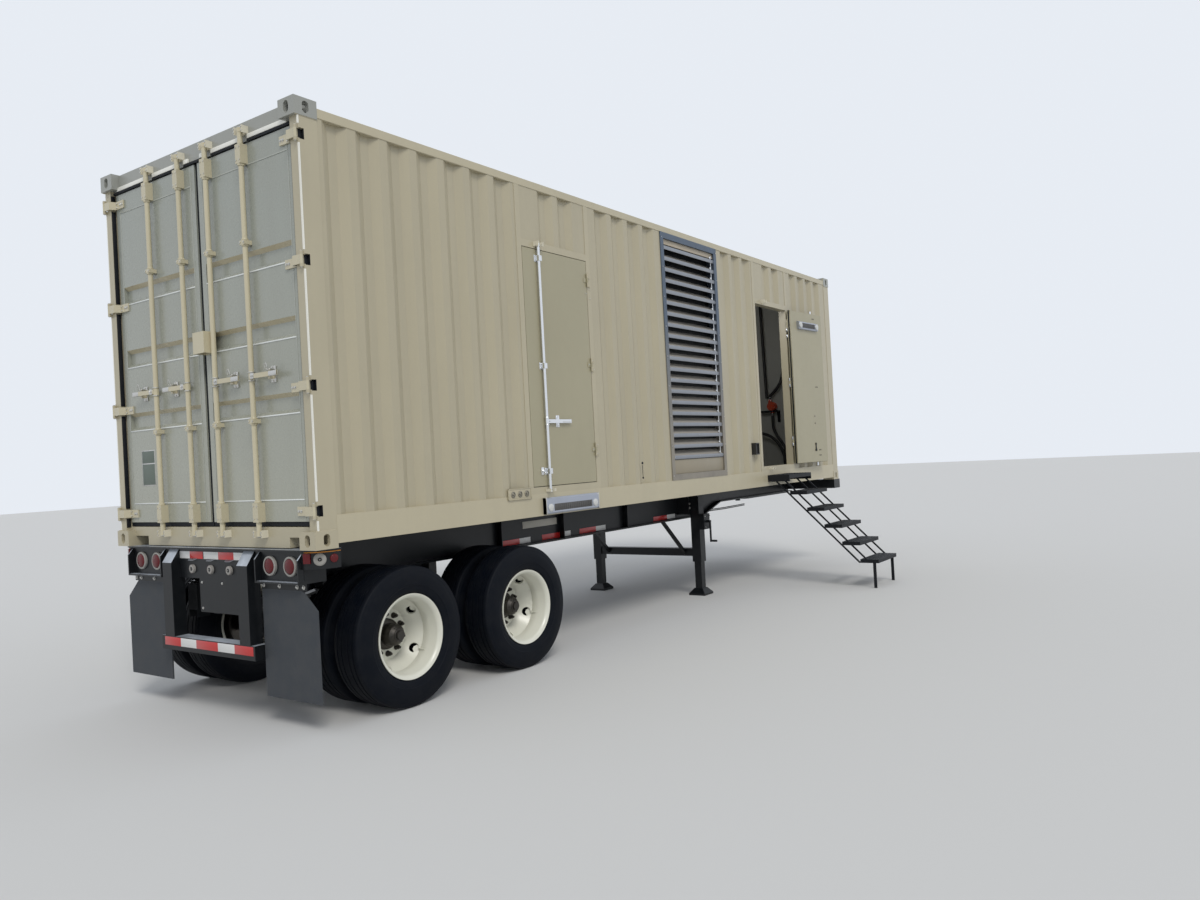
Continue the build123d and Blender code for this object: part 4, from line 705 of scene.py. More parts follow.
for (end, distance), (sign, side) in product(AXLES, SIDES):
    body, place = f"wheel_{end}_{side}_body", f"{end}_{side}"
    origin, out = spot(distance, sign * PAIR_PLANE, AXLE_HEIGHT), Vector((0, sign, 0))
    tyre_pair(origin, out).done(
        f"tyre_{place}", tyre_rubber, "tyre_rubber", body, origin, replaced=[f"tyres_{place}"])
    wheel_pair(origin, out, HAND_HOLE_STARTS[end]).done(
        f"wheel_{place}", white_paint, "wheel_paint", body, origin, replaced=[f"wheels_{place}"])
    hub(origin, out).done(f"hub_{place}", hub_metal, "wheel_paint", body, origin)

# Rear doors: each piece is built on the right leaf and copied to the left one
LEAF_FACE = 0.06
ROD_AXIS = 0.024
RODS = {"outer": -0.6, "inner": -0.175}
ROD_PLACES = tuple(RODS.values())
LEAF_OUT, LEAF_IN, LEAF_LOW, LEAF_HIGH = 1.108, 0.02, 0.18, 2.742
GROOVES = (1.943, 1.45, 0.958)
HINGES = (2.66, 1.853, 1.051, 0.248)


def leaf_strips(bevel, margin, proud, sunk, rows):
    """Strips across a leaf's face, each between two heights."""
    near, far = -LEAF_OUT + margin, -LEAF_IN - margin
    return blocks(bevel, *(
        ((LEAF_FACE - proud, near, low), (LEAF_FACE + sunk, far, high)) for low, high in rows))


def leaf_seams():
    """The folded border round the pressed panel, and the crease at the head of it, in a grey
    lighter than the leaves as a painted highlight.
    """
    form = leaf_strips(0.0015, 0.052, 0.0035, 0.002, [(2.592, 2.6)])
    for across in (-LEAF_OUT + 0.052, -LEAF_IN - 0.052):
        form.block(
            (LEAF_FACE - 0.0025, across - 0.003, LEAF_LOW + 0.02),
            (LEAF_FACE + 0.002, across + 0.003, LEAF_HIGH - 0.02), 0.0012)
    return form


def leaf_fold_glints():
    """Rolled lips under the grooves, and the crease at the foot of the panel, near white as
    painted highlights along them.
    """
    form = leaf_strips(
        0.002, 0.055, 0.0045, 0.003, [(groove - 0.0752, groove - 0.066) for groove in GROOVES])
    form.block(
        (LEAF_FACE - 0.0035, -LEAF_OUT + 0.055, 0.32),
        (LEAF_FACE + 0.002, -LEAF_IN - 0.055, 0.328), 0.0015)
    return form


def leaf_bolts():
    """Bolts of the sleeves and guides, and the screws of the hinge straps."""
    form = Form()
    form.bolts(
        0.0, around(0.019, *ROD_PLACES), around(0.043, 0.245, 2.662), BACKWARD, 0.0045, False)
    form.bolts(0.0, around(0.021, *ROD_PLACES), (2.064, 0.859), BACKWARD, 0.0055, False)
    form.bolts(0.048, -1.08, around(0.016, *HINGES), BACKWARD, 0.007, False)
    form.bolts(0.048, (-1.03, -1.004), HINGES, BACKWARD, 0.007)
    return form


def sleeve_rings():
    """Rolled collars where each rod leaves its sleeves and guides."""
    form = Form()
    collars = (
        (2.583, 0.014), (0.31, 0.014), (2.0785, 0.01), (2.04, 0.01), (0.873, 0.01),
        (0.835, 0.01))
    for across, (height, thick) in product(ROD_PLACES, collars):
        form.turned(spot(ROD_AXIS, across, height), UPWARD, [
            (0, 0.0186), (0, 0.0235), (thick / 2, 0.0255), (thick, 0.0235), (thick, 0.0186)], 20)
    return form


def handle_catches():
    """The forked retainer that holds each handle down, with its hasp loop."""
    form = Form()
    for across in ROD_PLACES:
        y = across - 0.2
        form.block((0.012, y - 0.02, 1.186), (LEAF_FACE, y + 0.02, 1.196), 0.002)
        form.block((0.05, y - 0.028, 1.105), (LEAF_FACE, y + 0.028, 1.215), 0.003)
        form.bolts(0.05, y, (1.112, 1.208), BACKWARD, 0.006)
        loop = (
            (0.02, -0.012, 1.19), (0.002, -0.014, 1.192), (-0.006, -0.012, 1.215),
            (-0.006, -0.004, 1.232), (-0.006, 0.008, 1.228), (0.0, 0.014, 1.2),
            (0.016, 0.013, 1.19))
        form.path([spot(x, y + shift, height) for x, shift, height in loop], 0.0028, 8)
    return form


def rod_fittings(across):
    """Hub flanges, handle grip and cam-end caps of one locking rod."""
    form = Form()
    flange = [
        (0, 0.0182), (0, 0.0245), (0.002, 0.0258), (0.004, 0.0258), (0.006, 0.0245),
        (0.006, 0.0182)]
    for height in (1.128, 1.186):
        form.turned(spot(ROD_AXIS, across, height), UPWARD, flange, 24)
    form.block((-0.0035, across - 0.055, 1.139), (0.0135, across - 0.018, 1.181), 0.004)
    form.block((-0.002, across - 0.3, 1.1425), (0.012, across - 0.215, 1.1775), 0.005)
    form.bolts(-0.0035, (across - 0.03, across - 0.044), 1.16, BACKWARD, 0.006, False)
    cap = [(0, 0.0165), (0.003, 0.0165), (0.006, 0.012), (0.007, 0.006)]
    for height, axis in ((2.84, UPWARD), (0.085, DOWNWARD)):
        form.disc(spot(ROD_AXIS, across, height), axis, cap, 20)
    form.bolts(
        ROD_AXIS - 0.006, around(0.0215, across), (0.1, 2.825), BACKWARD, 0.0032, False)
    return form


LEAF_PIECES = (
    ("leaf_seams", leaf_seams, seam_highlight_paint, "container_paint"),
    ("leaf_fold_glints", leaf_fold_glints, fold_glint_paint, "container_paint"),
    ("leaf_bolts", leaf_bolts, zinc_metal, "bright_steel"),
    ("sleeve_rings", sleeve_rings, rod_paint, "container_paint"),
    ("handle_catches", handle_catches, zinc_metal, "bright_steel"))
for (name, build, material, slot), (sign, side) in product(LEAF_PIECES, SIDES):
    build().done(f"{name}_{side}", material, slot, f"cargo_door_{side}_body", flip=sign > 0)
for (place, across), (sign, side) in product(RODS.items(), SIDES):
    rod_fittings(across).done(
        f"rod_fittings_{place}_{side}", zinc_metal, "bright_steel",
        f"lock_rod_{side}_{place}_body", flip=sign > 0)


def stretches(margin, start, end):
    """The heights along a corner post between its hinges."""
    stops = [start, *around(margin, *reversed(HINGES)), end]
    return list(zip(stops[::2], stops[1::2]))


form = Form()
form.bolts(
    0.0085, around(0.041, *ROD_PLACES), around(0.012, 0.1, 2.825), BACKWARD, 0.0055, False)
form.bolts(0.056, around(0.0325, *ROD_PLACES), (0.1, 2.825), BACKWARD, 0.0045, False)
form.mirrored().done("keeper_bolts", zinc_metal, "bright_steel")
# Rain strips over the doors, near white as a painted highlight.
blocks(0.002, *(
    ((0.046, -high, 2.766), (0.0605, -low, 2.796))
    for low, high in ((0.075, 0.135), (0.215, 0.555), (0.645, 1.07))
)).mirrored().done("rain_strips", trim_highlight_paint, "container_paint")

# Black sealing lips: under the header's strips, and on the inner faces of the posts
form = blocks(0.002, *(
    ((0.05, -high, 2.7475), (0.0605, -low, 2.7665))
    for low, high in ((0.0, 0.14), (0.208, 0.565), (0.635, 1.13))))
for low, high in stretches(0.04, 0.14, LEAF_HIGH):
    form.block((0.0295, -1.1335, low), (0.062, -1.1275, high), 0.002)
form.mirrored().done("post_seals", black_rubber, "door_rubber")

# Dark sheets on the floors and walls of the notches behind the hinges: painted shade in the
# notches
form = Form()
for height in HINGES:
    low, high = height - 0.0355, height + 0.0355
    form.block((0.044, -1.1915, low), (0.0735, -1.1885, high), 0.0006)
    form.block((0.0715, -1.2125, low), (0.0745, -1.189, high), 0.0006)
form.mirrored().done("notch_painted_shade", black_rubber, "door_rubber")

# Rolled corners of the posts, near white as a painted highlight along their edges, and the caps of
# the hinge pins
form = Form()
for low, high in stretches(0.062, 0.121, 2.775):
    form.bar(spot(0.0335, -1.2077, low), spot(0.0335, -1.2077, high), 0.0072, 16)
form.mirrored().done("post_corner_highlights", trim_highlight_paint, "container_paint")
form = Form()
for height, (lift, axis) in product(HINGES, ((0.0505, UPWARD), (-0.0505, DOWNWARD))):
    cap = [(0, 0.0085), (0.002, 0.0085), (0.005, 0.005)]
    form.disc(spot(0.012, -1.203, height + lift), axis, cap, 16)
form.mirrored().done("hinge_caps", zinc_metal, "bright_steel")

# Blank plate on the left leaf, in its frame
blocks(0.0008, ((0.0585, 0.727, 0.459), (0.0605, 0.913, 0.731))).done(
    "plate_frame", zinc_metal, "bright_steel", "cargo_door_left_body")
blocks(
    0.0008, ((0.0575, 0.734, 0.466), (0.06, 0.906, 0.624)),
    ((0.0575, 0.734, 0.632), (0.06, 0.906, 0.724))).done(
    "door_plate", plate_green, "bright_steel", "cargo_door_left_body")

# Grey lining of the engine room, with its battens
ROOM_END, ROOM_SIDE, ROOM_TOP = 9.02, 1.1, 2.79
blocks(
    0.001, ((0.2, 1.106, 0.215), (ROOM_END, 1.11, ROOM_TOP)),
    ((ROOM_END, -ROOM_SIDE, 0.215), (9.024, ROOM_SIDE, ROOM_TOP)),
    ((5.7, -ROOM_SIDE, 2.786), (ROOM_END, ROOM_SIDE, ROOM_TOP))).done(
    "room_lining", inner_paint, "container_paint")
form = Form()
for place in (5.85 + 0.225 * number for number in range(14)):
    form.block((place, 1.098, 0.22), (place + 0.035, 1.106, 2.78), 0.002)
for height in (0.75, 1.5, 2.25):
    form.block((5.7, 1.094, height), (ROOM_END, ROOM_SIDE, height + 0.03), 0.002)
form.done("lining_battens", inner_paint, "container_paint")

# Louvres: folded lips, rivets, a stay down the front, a wire screen on a dark solid backing,
# which is painted shade inside the louvre, a pale baffle on top and a panel at the foot. The
# left one has no frame screws, which would stand past the wall.
LOUVRE_START, LOUVRE_END, LOUVRE_MEMBER = 4.44, 5.66, 0.062
BLADE_LOW, BLADE_PITCH, BLADE_COUNT = 0.426, 0.1153, 20
WIRE_PITCH, WIRE_RADIUS, WIRES_UP, WIRES_ACROSS = 0.05, 0.002, 21, 46
first, last = LOUVRE_START + LOUVRE_MEMBER, LOUVRE_END - LOUVRE_MEMBER
blades = [BLADE_LOW + BLADE_PITCH * number for number in range(BLADE_COUNT)]


def louvre_rows(start, end, outer, inner, low, high, bevel):
    """The same strip on every blade, set back from the wall's face."""
    return blocks(bevel, *(
        ((start, -WALL + outer, blade + low), (end, -WALL + inner, blade + high))
        for blade in blades))


def louvre_rivets(with_screws):
    form = Form()
    form.bolts(
        (first + 0.012, (first + last) / 2, last - 0.012), -WALL + 0.0045,
        [blade + 0.024 for blade in blades], RIGHTWARD, 0.0035, False)
    if with_screws:
        form.bolts(
            (LOUVRE_START + 0.02, LOUVRE_END - 0.02), -WALL,
            [0.26 + 0.31 * number for number in range(9)], RIGHTWARD, 0.0055, False)
    return form


def louvre_stay():
    stay = last - 0.062
    form = louvre_rows(stay - 0.024, stay + 0.004, 0.01, 0.014, 0.052, 0.068, 0.001)
    form.block(
        (stay - 0.006, -WALL + 0.0085, 0.432), (stay + 0.006, -WALL + 0.0165, 2.7), 0.0015)
    return form


def louvre_screen():
    face = -WALL + 0.098
    # A dark solid backing behind the wires: painted shade inside the louvre.
    form = blocks(WIRE_RADIUS, ((first, face, 0.4), (last, -WALL + 0.112, 2.732)))
    for x in (first + 0.048 + WIRE_PITCH * number for number in range(WIRES_UP)):
        form.bar(spot(x, face, 0.41), spot(x, face, 2.722), WIRE_RADIUS, 6)
    for z in (0.44 + WIRE_PITCH * number for number in range(WIRES_ACROSS)):
        form.bar(spot(first + 0.004, face, z), spot(last - 0.004, face, z), WIRE_RADIUS, 6)
    return form


def louvre_baffle():
    form = blocks(
        0.001, ((first + 0.001, -WALL + 0.022, 2.69), (last - 0.001, -WALL + 0.028, 2.731)))
    form.block((first + 0.001, -WALL + 0.016, 2.674), (last - 0.001, -WALL + 0.026, 2.692), 0.002)
    return form


for sign, side in SIDES:
    for name, form, material in (
            ("lips", louvre_rows(first, last, 0.0045, 0.0075, 0.004, 0.042, 0.001), lip_metal),
            ("rivets", louvre_rivets(sign < 0), zinc_metal),
            ("stay", louvre_stay(), bright_metal),
            ("screen", louvre_screen(), screen_and_shade_metal),
            ("baffle", louvre_baffle(), baffle_paint),
            ("panel", blocks(0.001, (
                (first + 0.001, -WALL + 0.015, 0.277),
                (last - 0.001, -WALL + 0.0195, 0.425))), panel_paint)):
        form.done(f"louvre_{name}_{side}", material, "louvre_metal", flip=sign > 0)

# Side doors. The open leaf's pieces are built closed and turned about its hinge.
SIDE_DOOR, ACCESS_DOOR, LEAF_WIDTH = 2.2, 6.645, 0.895
LEAF_PLANE, PIN_SHIFT, PIN_ACROSS = -1.212, 0.898, -1.224
SIDE_LOW, SIDE_HIGH, SIDE_ROD = 0.278, 2.28, 0.19
HINGE_LOWS = (0.51, 1.278, 1.928)
OPEN_ANGLE = radians(176)
ACCESS_PIN = ACCESS_DOOR + PIN_SHIFT
pin = Vector((at(ACCESS_PIN), PIN_ACROSS, 0))
SWUNG = Matrix.Translation(pin) @ Matrix.Rotation(OPEN_ANGLE, 4, "Z") @ Matrix.Translation(-pin)


def leaf_edging(start):
    """Sealing strip round the edge of a leaf."""
    near, far = start + 0.0005, start + LEAF_WIDTH - 0.0005
    front, back, width = LEAF_PLANE + 0.012, LEAF_PLANE + 0.03, 0.004
    low, high = SIDE_LOW - width, SIDE_HIGH + width
    return blocks(
        0.0008, ((near - width, front, low), (near, back, high)),
        ((far, front, low), (far + width, back, high)),
        ((near, front, SIDE_HIGH), (far, back, high)), ((near, front, low), (far, back, SIDE_LOW)))


def leaf_clamps(start):
    """Hinge screws, and clamp plates with their bolts under each bracket of the rod."""
    form = Form()
    face = LEAF_PLANE - 0.003
    form.bolts(
        (start + PIN_SHIFT - 0.022, start + PIN_SHIFT - 0.038), -1.2172,
        [low + 0.06 for low in HINGE_LOWS], RIGHTWARD, 0.0036, False)
    along = start + SIDE_ROD
    for low in (2.18, 1.268, 0.378):
        form.block(
            (along - 0.04, face, low - 0.006), (along + 0.04, LEAF_PLANE, low + 0.052), 0.001)
        form.bolts(around(0.03, along), face, (low + 0.008, low + 0.038), RIGHTWARD, 0.0048)
    catch = start + 0.36
    form.block((catch - 0.024, face, 0.772), (catch + 0.024, LEAF_PLANE, 0.874), 0.001)
    form.bolts(catch, face, (0.782, 0.864), RIGHTWARD, 0.0055)
    return form


leaf_edging(SIDE_DOOR).done("side_door_seal", black_rubber, "door_rubber", "side_door_body")
leaf_edging(ACCESS_DOOR).moved(SWUNG).done(
    "access_door_seal", black_rubber, "door_rubber", "access_door_body")
form = leaf_clamps(SIDE_DOOR)
lever, lever_face = SIDE_DOOR + 0.115, LEAF_PLANE - 0.01
form.block((lever - 0.018, lever_face, 0.372), (lever + 0.018, LEAF_PLANE, 0.436), 0.003)
form.disc(
    spot(lever, lever_face, 0.404), RIGHTWARD, [(0, 0.013), (0.01, 0.013), (0.014, 0.009)], 20)
form.done("side_door_clamps", bright_metal, "bright_steel", "side_door_body")
leaf_clamps(ACCESS_DOOR).moved(SWUNG).done(
    "access_door_clamps", bright_metal, "bright_steel", "access_door_body")
form = Form()
for start in (SIDE_DOOR, ACCESS_DOOR):
    form.bolts(
        (start + PIN_SHIFT + 0.022, start + PIN_SHIFT + 0.038), -1.2185,
        around(0.04, *(low + 0.06 for low in HINGE_LOWS)), RIGHTWARD, 0.0036, False)
form.done("frame_screws", zinc_metal, "bright_steel")

form = Form()
sleeve = [
    (0, 0.0089), (0, 0.0096), (0.001, 0.01), (0.037, 0.01), (0.038, 0.0096), (0.038, 0.0089)]
for low, lift in product(HINGE_LOWS, (0.0005, 0.0815)):
    form.turned(spot(ACCESS_PIN, PIN_ACROSS, low + lift), UPWARD, sleeve, 20)
form.done("access_hinge_sleeves", bright_metal, "bright_steel")

# Grip and hub rings of the side door's rod, and its clevis pin
form = Form()
collar = [(0, 0.0162), (0, 0.02), (0.003, 0.021), (0.006, 0.02), (0.006, 0.0162)]
for height in (0.79, 0.85):
    form.turned(spot(SIDE_DOOR + SIDE_ROD, -1.232, height), UPWARD, collar, 20)
form.block((2.6, -1.2385, 0.809), (2.728, -1.2255, 0.837), 0.005)
form.bolt(spot(2.425, -1.237, 0.823), RIGHTWARD, 0.006, False)
form.done("side_rod_fittings", bright_metal, "bright_steel", "side_door_rod_body")

# Inner face of the open leaf: bolt heads, a lock case, and the lamp's ends and ribbed band.
# Places on it are given by the distance from its hinge edge and the height.
INNER_PLANE = -1.167
LAMP_START = ACCESS_DOOR + 0.1675
facing = (SWUNG.to_3x3() @ LEFTWARD).normalized()


def inner(along, height):
    return SWUNG @ spot(ACCESS_PIN - along, INNER_PLANE, height)


form = Form()
for along, height in (
        (0.635, 2.216), (0.672, 2.216), (0.64, 2.144), (0.677, 2.144), (0.64, 1.29),
        (0.677, 1.29), (0.56, 0.895), (0.56, 0.8), (0.65, 0.437), (0.687, 0.437),
        (0.65, 0.366), (0.687, 0.366)):
    form.bolt(inner(along, height), facing, 0.0062)
form.done("leaf_through_bolts", dark_metal, "bright_steel", "access_door_body")
form = blocks(
    0.002,
    ((ACCESS_PIN - 0.56, INNER_PLANE, 0.445), (ACCESS_PIN - 0.536, INNER_PLANE + 0.007, 0.515)),
    ((ACCESS_PIN - 0.572, INNER_PLANE, 0.425), (ACCESS_PIN - 0.524, INNER_PLANE + 0.007, 0.455)))
form.moved(SWUNG)
form.disc(inner(0.548, 0.52), facing, [(0, 0.017), (0.006, 0.017), (0.009, 0.013)], 20)
form.done("leaf_lock_case", black_rubber, "door_rubber", "access_door_body")
form = Form()
for middle in (0.045, 0.515):
    form.disc(SWUNG @ spot(LAMP_START + middle, INNER_PLANE + 0.036, 2.1), facing, [
        (-0.002, 0.04), (0.006, 0.04), (0.012, 0.034), (0.015, 0.02)], 28)
form.done("access_lamp_ends", white_lens, "rail_lamp_metal", "access_door_body")
form = blocks(0.0008, *(
    ((rib - 0.0015, INNER_PLANE + 0.038, 2.072), (rib + 0.0015, INNER_PLANE + 0.041, 2.128))
    for rib in (LAMP_START + 0.118 + 0.027 * number for number in range(13))))
form.block(
    (LAMP_START + 0.1, INNER_PLANE + 0.034, 2.068),
    (LAMP_START + 0.46, INNER_PLANE + 0.039, 2.132), 0.002)
form.moved(SWUNG).done("access_lamp_grille", dark_metal, "rail_lamp_metal", "access_door_body")

# Rail lamp: lamps at both ends of its ribbed band, end caps and screws
form = Form()
for place in (2.362, 3.005):
    form.disc(spot(place, -1.249, 0.092), RIGHTWARD, [
        (0, 0.034), (0.006, 0.034), (0.012, 0.028), (0.015, 0.016)], 28)
form.done("rail_lamp_ends", white_lens, "rail_lamp_metal")
form = blocks(0.0008, *(
    ((rib - 0.0015, -1.2545, 0.068), (rib + 0.0015, -1.2515, 0.118))
    for rib in (2.44 + 0.027 * number for number in range(19))))
form.block((2.412, -1.2525, 0.064), (2.955, -1.248, 0.122), 0.002)
form.done("rail_lamp_band", dark_metal, "rail_lamp_metal")
form = blocks(0.002, *(
    ((place, -1.2525, 0.038), (place + 0.012, -1.213, 0.18)) for place in (2.3, 3.055)))
form.bolts((2.315, 2.56, 2.807, 3.045), -1.243, (0.052, 0.166), RIGHTWARD, 0.0048)
form.done("rail_lamp_caps", zinc_metal, "rail_lamp_metal")

# Plate with three plugs beside the side door, and the earth lead on the wall's foot
WALL_FACE = -1.2185
PLATE_START, PLATE_END, PLATE_LOW, PLATE_HIGH, RIM = 1.856, 2.145, 0.186, 0.277, 0.007
form = blocks(0.001, *(
    ((start, -1.2265, low), (end, -1.2225, high)) for start, end, low, high in (
        (PLATE_START, PLATE_END, PLATE_LOW, PLATE_LOW + RIM),
        (PLATE_START, PLATE_END, PLATE_HIGH - RIM, PLATE_HIGH),
        (PLATE_START, PLATE_START + RIM, PLATE_LOW, PLATE_HIGH),
        (PLATE_END - RIM, PLATE_END, PLATE_LOW, PLATE_HIGH))))
form.block((PLATE_START, -1.2235, PLATE_LOW), (PLATE_END, WALL_FACE, PLATE_HIGH), 0.0015)
form.done("plug_plate", paint, "container_paint")
form = Form()
for centre in (spot(1.916 + 0.085 * number, -1.2235, 0.23) for number in range(3)):
    form.disc(centre, RIGHTWARD, [
        (0, 0.026), (0.004, 0.026), (0.007, 0.022), (0.007, 0.018), (0.004, 0.017)], 24)
    form.disc(centre, RIGHTWARD, [(0.003, 0.01), (0.009, 0.01), (0.011, 0.008)], 6)
form.done("plate_plugs", plug_metal, "container_paint")
form = blocks(0.0015, ((3.865, -1.221, 0.283), (3.873, WALL_FACE, 0.395)))
for height, radius in ((0.415, 0.013), (0.272, 0.011)):
    form.disc(spot(3.869, WALL_FACE, height), RIGHTWARD, [
        (0, radius), (0.004, radius), (0.006, radius - 0.003)], 20)
form.done("earth_lead", black_rubber, "door_rubber")

# Seams along the side rails, and welds where castings meet rails and posts
form = Form()
for height in (0.178, 2.794):
    form.bar(spot(0.178, -1.2065, height), spot(8.947, -1.2065, height), 0.0035, 8)
for x, (low, high) in product((0.1785, 8.9465), ((0.006, 0.118), (2.778, 2.89))):
    form.bar(spot(x, -1.2095, low), spot(x, -1.2095, high), 0.0045, 8)
for x, height in product((0.0, 8.947), (0.118, 2.778)):
    form.bar(spot(x + 0.01, -1.2115, height), spot(x + 0.165, -1.2115, height), 0.0045, 8)
form.mirrored().done("weld_beads", paint, "container_paint")

# Chassis lamps: rings, domed lenses and markers under hoods
BAR_FACE = 0.03
LAMPS = [spot(BAR_FACE, across, -0.11) for across in (-0.918, -0.7)]
MARKERS = [spot(BAR_FACE, across, -0.155) for across in (-0.229, 0.0, 0.229)]
form = Form()
for centre in LAMPS:
    form.turned(centre, BACKWARD, [
        (0, 0.05), (0.01, 0.05), (0.017, 0.053), (0.0185, 0.058), (0.015, 0.0655),
        (0, 0.0665)], 48)
form.mirrored().done("lamp_rings", ring_rubber, "lamp_lens")
form = Form()
for centre in LAMPS:
    form.disc(centre, BACKWARD, [
        (0.012, 0.0505), (0.0165, 0.05), (0.0205, 0.046), (0.024, 0.036), (0.026, 0.018)], 48)
form.mirrored().done("lamp_domes", red_lens, "lamp_lens")
form = Form()
for centre in MARKERS:
    form.turned(centre, BACKWARD, [
        (0, 0.013), (0.0165, 0.013), (0.0185, 0.016), (0.0185, 0.024), (0.015, 0.0312),
        (0, 0.032)], 36)
    form.disc(centre, BACKWARD, [(0.013, 0.0045), (0.02, 0.0045), (0.021, 0.003)], 14)
form.done("marker_rings", ring_rubber, "lamp_lens")
form = Form()
for centre in MARKERS:
    form.disc(centre, BACKWARD, [(0.01, 0.0132), (0.0175, 0.0132)], 24)
form.done("marker_centres", black_rubber, "lamp_lens")
form = Form()
for centre in MARKERS:
    form.plate([centre + Vector(shift) for shift in (
        (0, -0.05, 0.072), (0, 0.05, 0.072), (-0.02, 0.03, 0.061), (-0.02, -0.03, 0.061))],
        0.003, UPWARD)
form.done("marker_hoods", lip_metal, "lamp_lens")

# Marker, reflectors and edge strip on the bolster's rounded ends
ARC, ARC_RADIUS = spot(0.185, -1.034, 0), 0.173


def bolster_end(angle, height):
    """A point of the bolster's rounded end, and the way it faces there."""
    out = Vector((-cos(radians(angle)), -sin(radians(angle)), 0))
    return ARC + out * ARC_RADIUS + Vector((0, 0, height)), out


form = Form()
where, out = bolster_end(48, -0.064)
form.turned(where, out, [
    (-0.012, 0.012), (0.003, 0.012), (0.008, 0.016), (0.008, 0.032), (0.003, 0.04),
    (-0.012, 0.042)], 40)
form.disc(where, out, [(0, 0.0045), (0.009, 0.0045), (0.01, 0.003)], 12)
form.mirrored().done("corner_marker_rings", ring_rubber, "lamp_lens")
form = Form()
form.disc(where, out, [(-0.01, 0.0125), (0.002, 0.0125)], 24)
form.mirrored().done("corner_marker_centres", black_rubber, "lamp_lens")
form = Form()
where, out = bolster_end(21, -0.055)
side = out.cross(UPWARD) * 0.025
rise = UPWARD * 0.0325
back = where - out * 0.004
form.plate(
    [back - side - rise, back + side - rise, back + side + rise, back - side + rise], 0.014, out)
where, out = bolster_end(78, -0.062)
form.disc(where, out, [(-0.006, 0.028), (0.005, 0.028), (0.009, 0.024), (0.011, 0.012)], 32)
form.mirrored().done("corner_reflectors", red_lens, "lamp_lens")
form = Form()
points = [point + out * 0.001 for point, out in (
    bolster_end(angle, -0.0165) for angle in range(14, 91, 6))]
form.path([*points, spot(0.199, -1.2075, -0.0165)], 0.0035, 8)
form.mirrored().done("bolster_edge_strips", orange_paint, "lock_post_paint")

# Reflective tapes: red from each start, then white, along the beams and across both bars
BEAM_FACE, GUARD_FACE = -0.506, -0.036
BEAM_TAPES = ((2.545, 2.962), (3.136, 3.59), (3.74, 4.2), (5.156, 5.641))
RED_SHARE, TAPE_LOW, TAPE_HIGH = 0.62, -0.268, -0.218


def bar_tape(face, spans, low, high):
    return [((face - 0.0002, a, low), (face + 0.0006, b, high)) for a, b in spans]


red, white = [], []
for (start, end), sign in product(BEAM_TAPES, (-1, 1)):
    middle = start + RED_SHARE * (end - start)
    inner_edge, outer_edge = sorted((sign * 0.506, sign * 0.5072))
    for tape, a, b in ((red, start, middle), (white, middle, end)):
        tape.append(((a, inner_edge, TAPE_LOW), (b, outer_edge, TAPE_HIGH)))
red += bar_tape(BAR_FACE, ((0.1, 0.268), (-0.277, -0.091)), -0.082, -0.03)
red += bar_tape(GUARD_FACE, ((0.326, 0.536), (-0.14, 0.127), (-0.553, -0.338)), -0.713, -0.652)
white += bar_tape(BAR_FACE, ((0.268, 0.398), (-0.091, 0.09), (-0.396, -0.277)), -0.082, -0.03)
white += bar_tape(GUARD_FACE, ((0.127, 0.326), (-0.338, -0.14)), -0.713, -0.652)
blocks(0.0002, *red).done("red_tapes", red_tape, "chassis_paint")
blocks(0.0002, *white).done("white_tapes", white_tape, "chassis_paint")
form = blocks(0.001, ((2.856, BEAM_FACE - 0.003, -0.135), (3.371, BEAM_FACE, -0.07)))
form.bolts((2.866, 3.361), BEAM_FACE - 0.003, -0.1025, RIGHTWARD, 0.003, False)
form.done("beam_plate", pale_plate, "chassis_paint")

# Bolts of the flap bars, guard posts and plate panel, and welds that catch the light
form = Form()
form.bolts(0.036, (-0.601, -0.775, -0.962, -1.03), -0.244, BACKWARD, 0.0095)
form.bolts(0.062, (-0.43, -0.5), (-0.33, -0.47, -0.6), FORWARD, 0.009)
form.mirrored()
form.bolts(BAR_FACE, (-0.375, 0.125), (-0.25, -0.435), BACKWARD, 0.006)
form.bolt(spot(BAR_FACE, -0.125, -0.25), BACKWARD, 0.006)
form.done("flap_bolts", zinc_metal, "chassis_paint")
form = Form()
for start, end, radius, steps in (
        ((-0.034, -0.405, -0.645), (0.062, -0.405, -0.645), 0.005, 8),
        ((-0.034, -0.525, -0.645), (0.062, -0.525, -0.645), 0.005, 8),
        ((BAR_FACE, -0.5725, -0.2), (BAR_FACE, -0.5725, -0.02), 0.004, 8),
        ((BAR_FACE, -1.05, -0.2), (BAR_FACE, -1.05, -0.02), 0.004, 8),
        ((-0.014, -0.582, -0.2165), (-0.014, -1.048, -0.2165), 0.0055, 10)):
    form.bar(spot(*start), spot(*end), radius, steps)
form.mirrored().done("chassis_welds", black_paint, "chassis_paint")

# Beam stiffeners, spring clamps with their nuts, shackle pins and air lines
form = blocks(0.001, *(
    ((place - 0.005, -0.562, -0.276), (place + 0.005, BEAM_FACE, -0.019))
    for place in (2.503, 3.42, 4.55, 6.1)))
form.bolts((0.22, 1.343, 1.483, 2.603), -0.562, -0.52, RIGHTWARD, 0.017)
for _, axle in AXLES:
    for place in around(0.055, axle):
        for across in (-0.4585, -0.5415):
            form.bar(spot(place, across, -0.765), spot(place, across, -0.48), 0.008, 10)
            form.disc(spot(place, across, -0.785), UPWARD, [(0, 0.014), (0.014, 0.014)], 6)
        form.path([spot(place, across, height) for across, height in (
            (-0.4585, -0.482), (-0.462, -0.4745), (-0.47, -0.472), (-0.53, -0.472),
            (-0.538, -0.4745), (-0.5415, -0.482))], 0.008, 10)
    form.block((axle - 0.075, -0.555, -0.772), (axle + 0.075, -0.445, -0.756), 0.002)
form.mirrored().done("spring_clamps", black_paint, "chassis_paint")
form = Form()
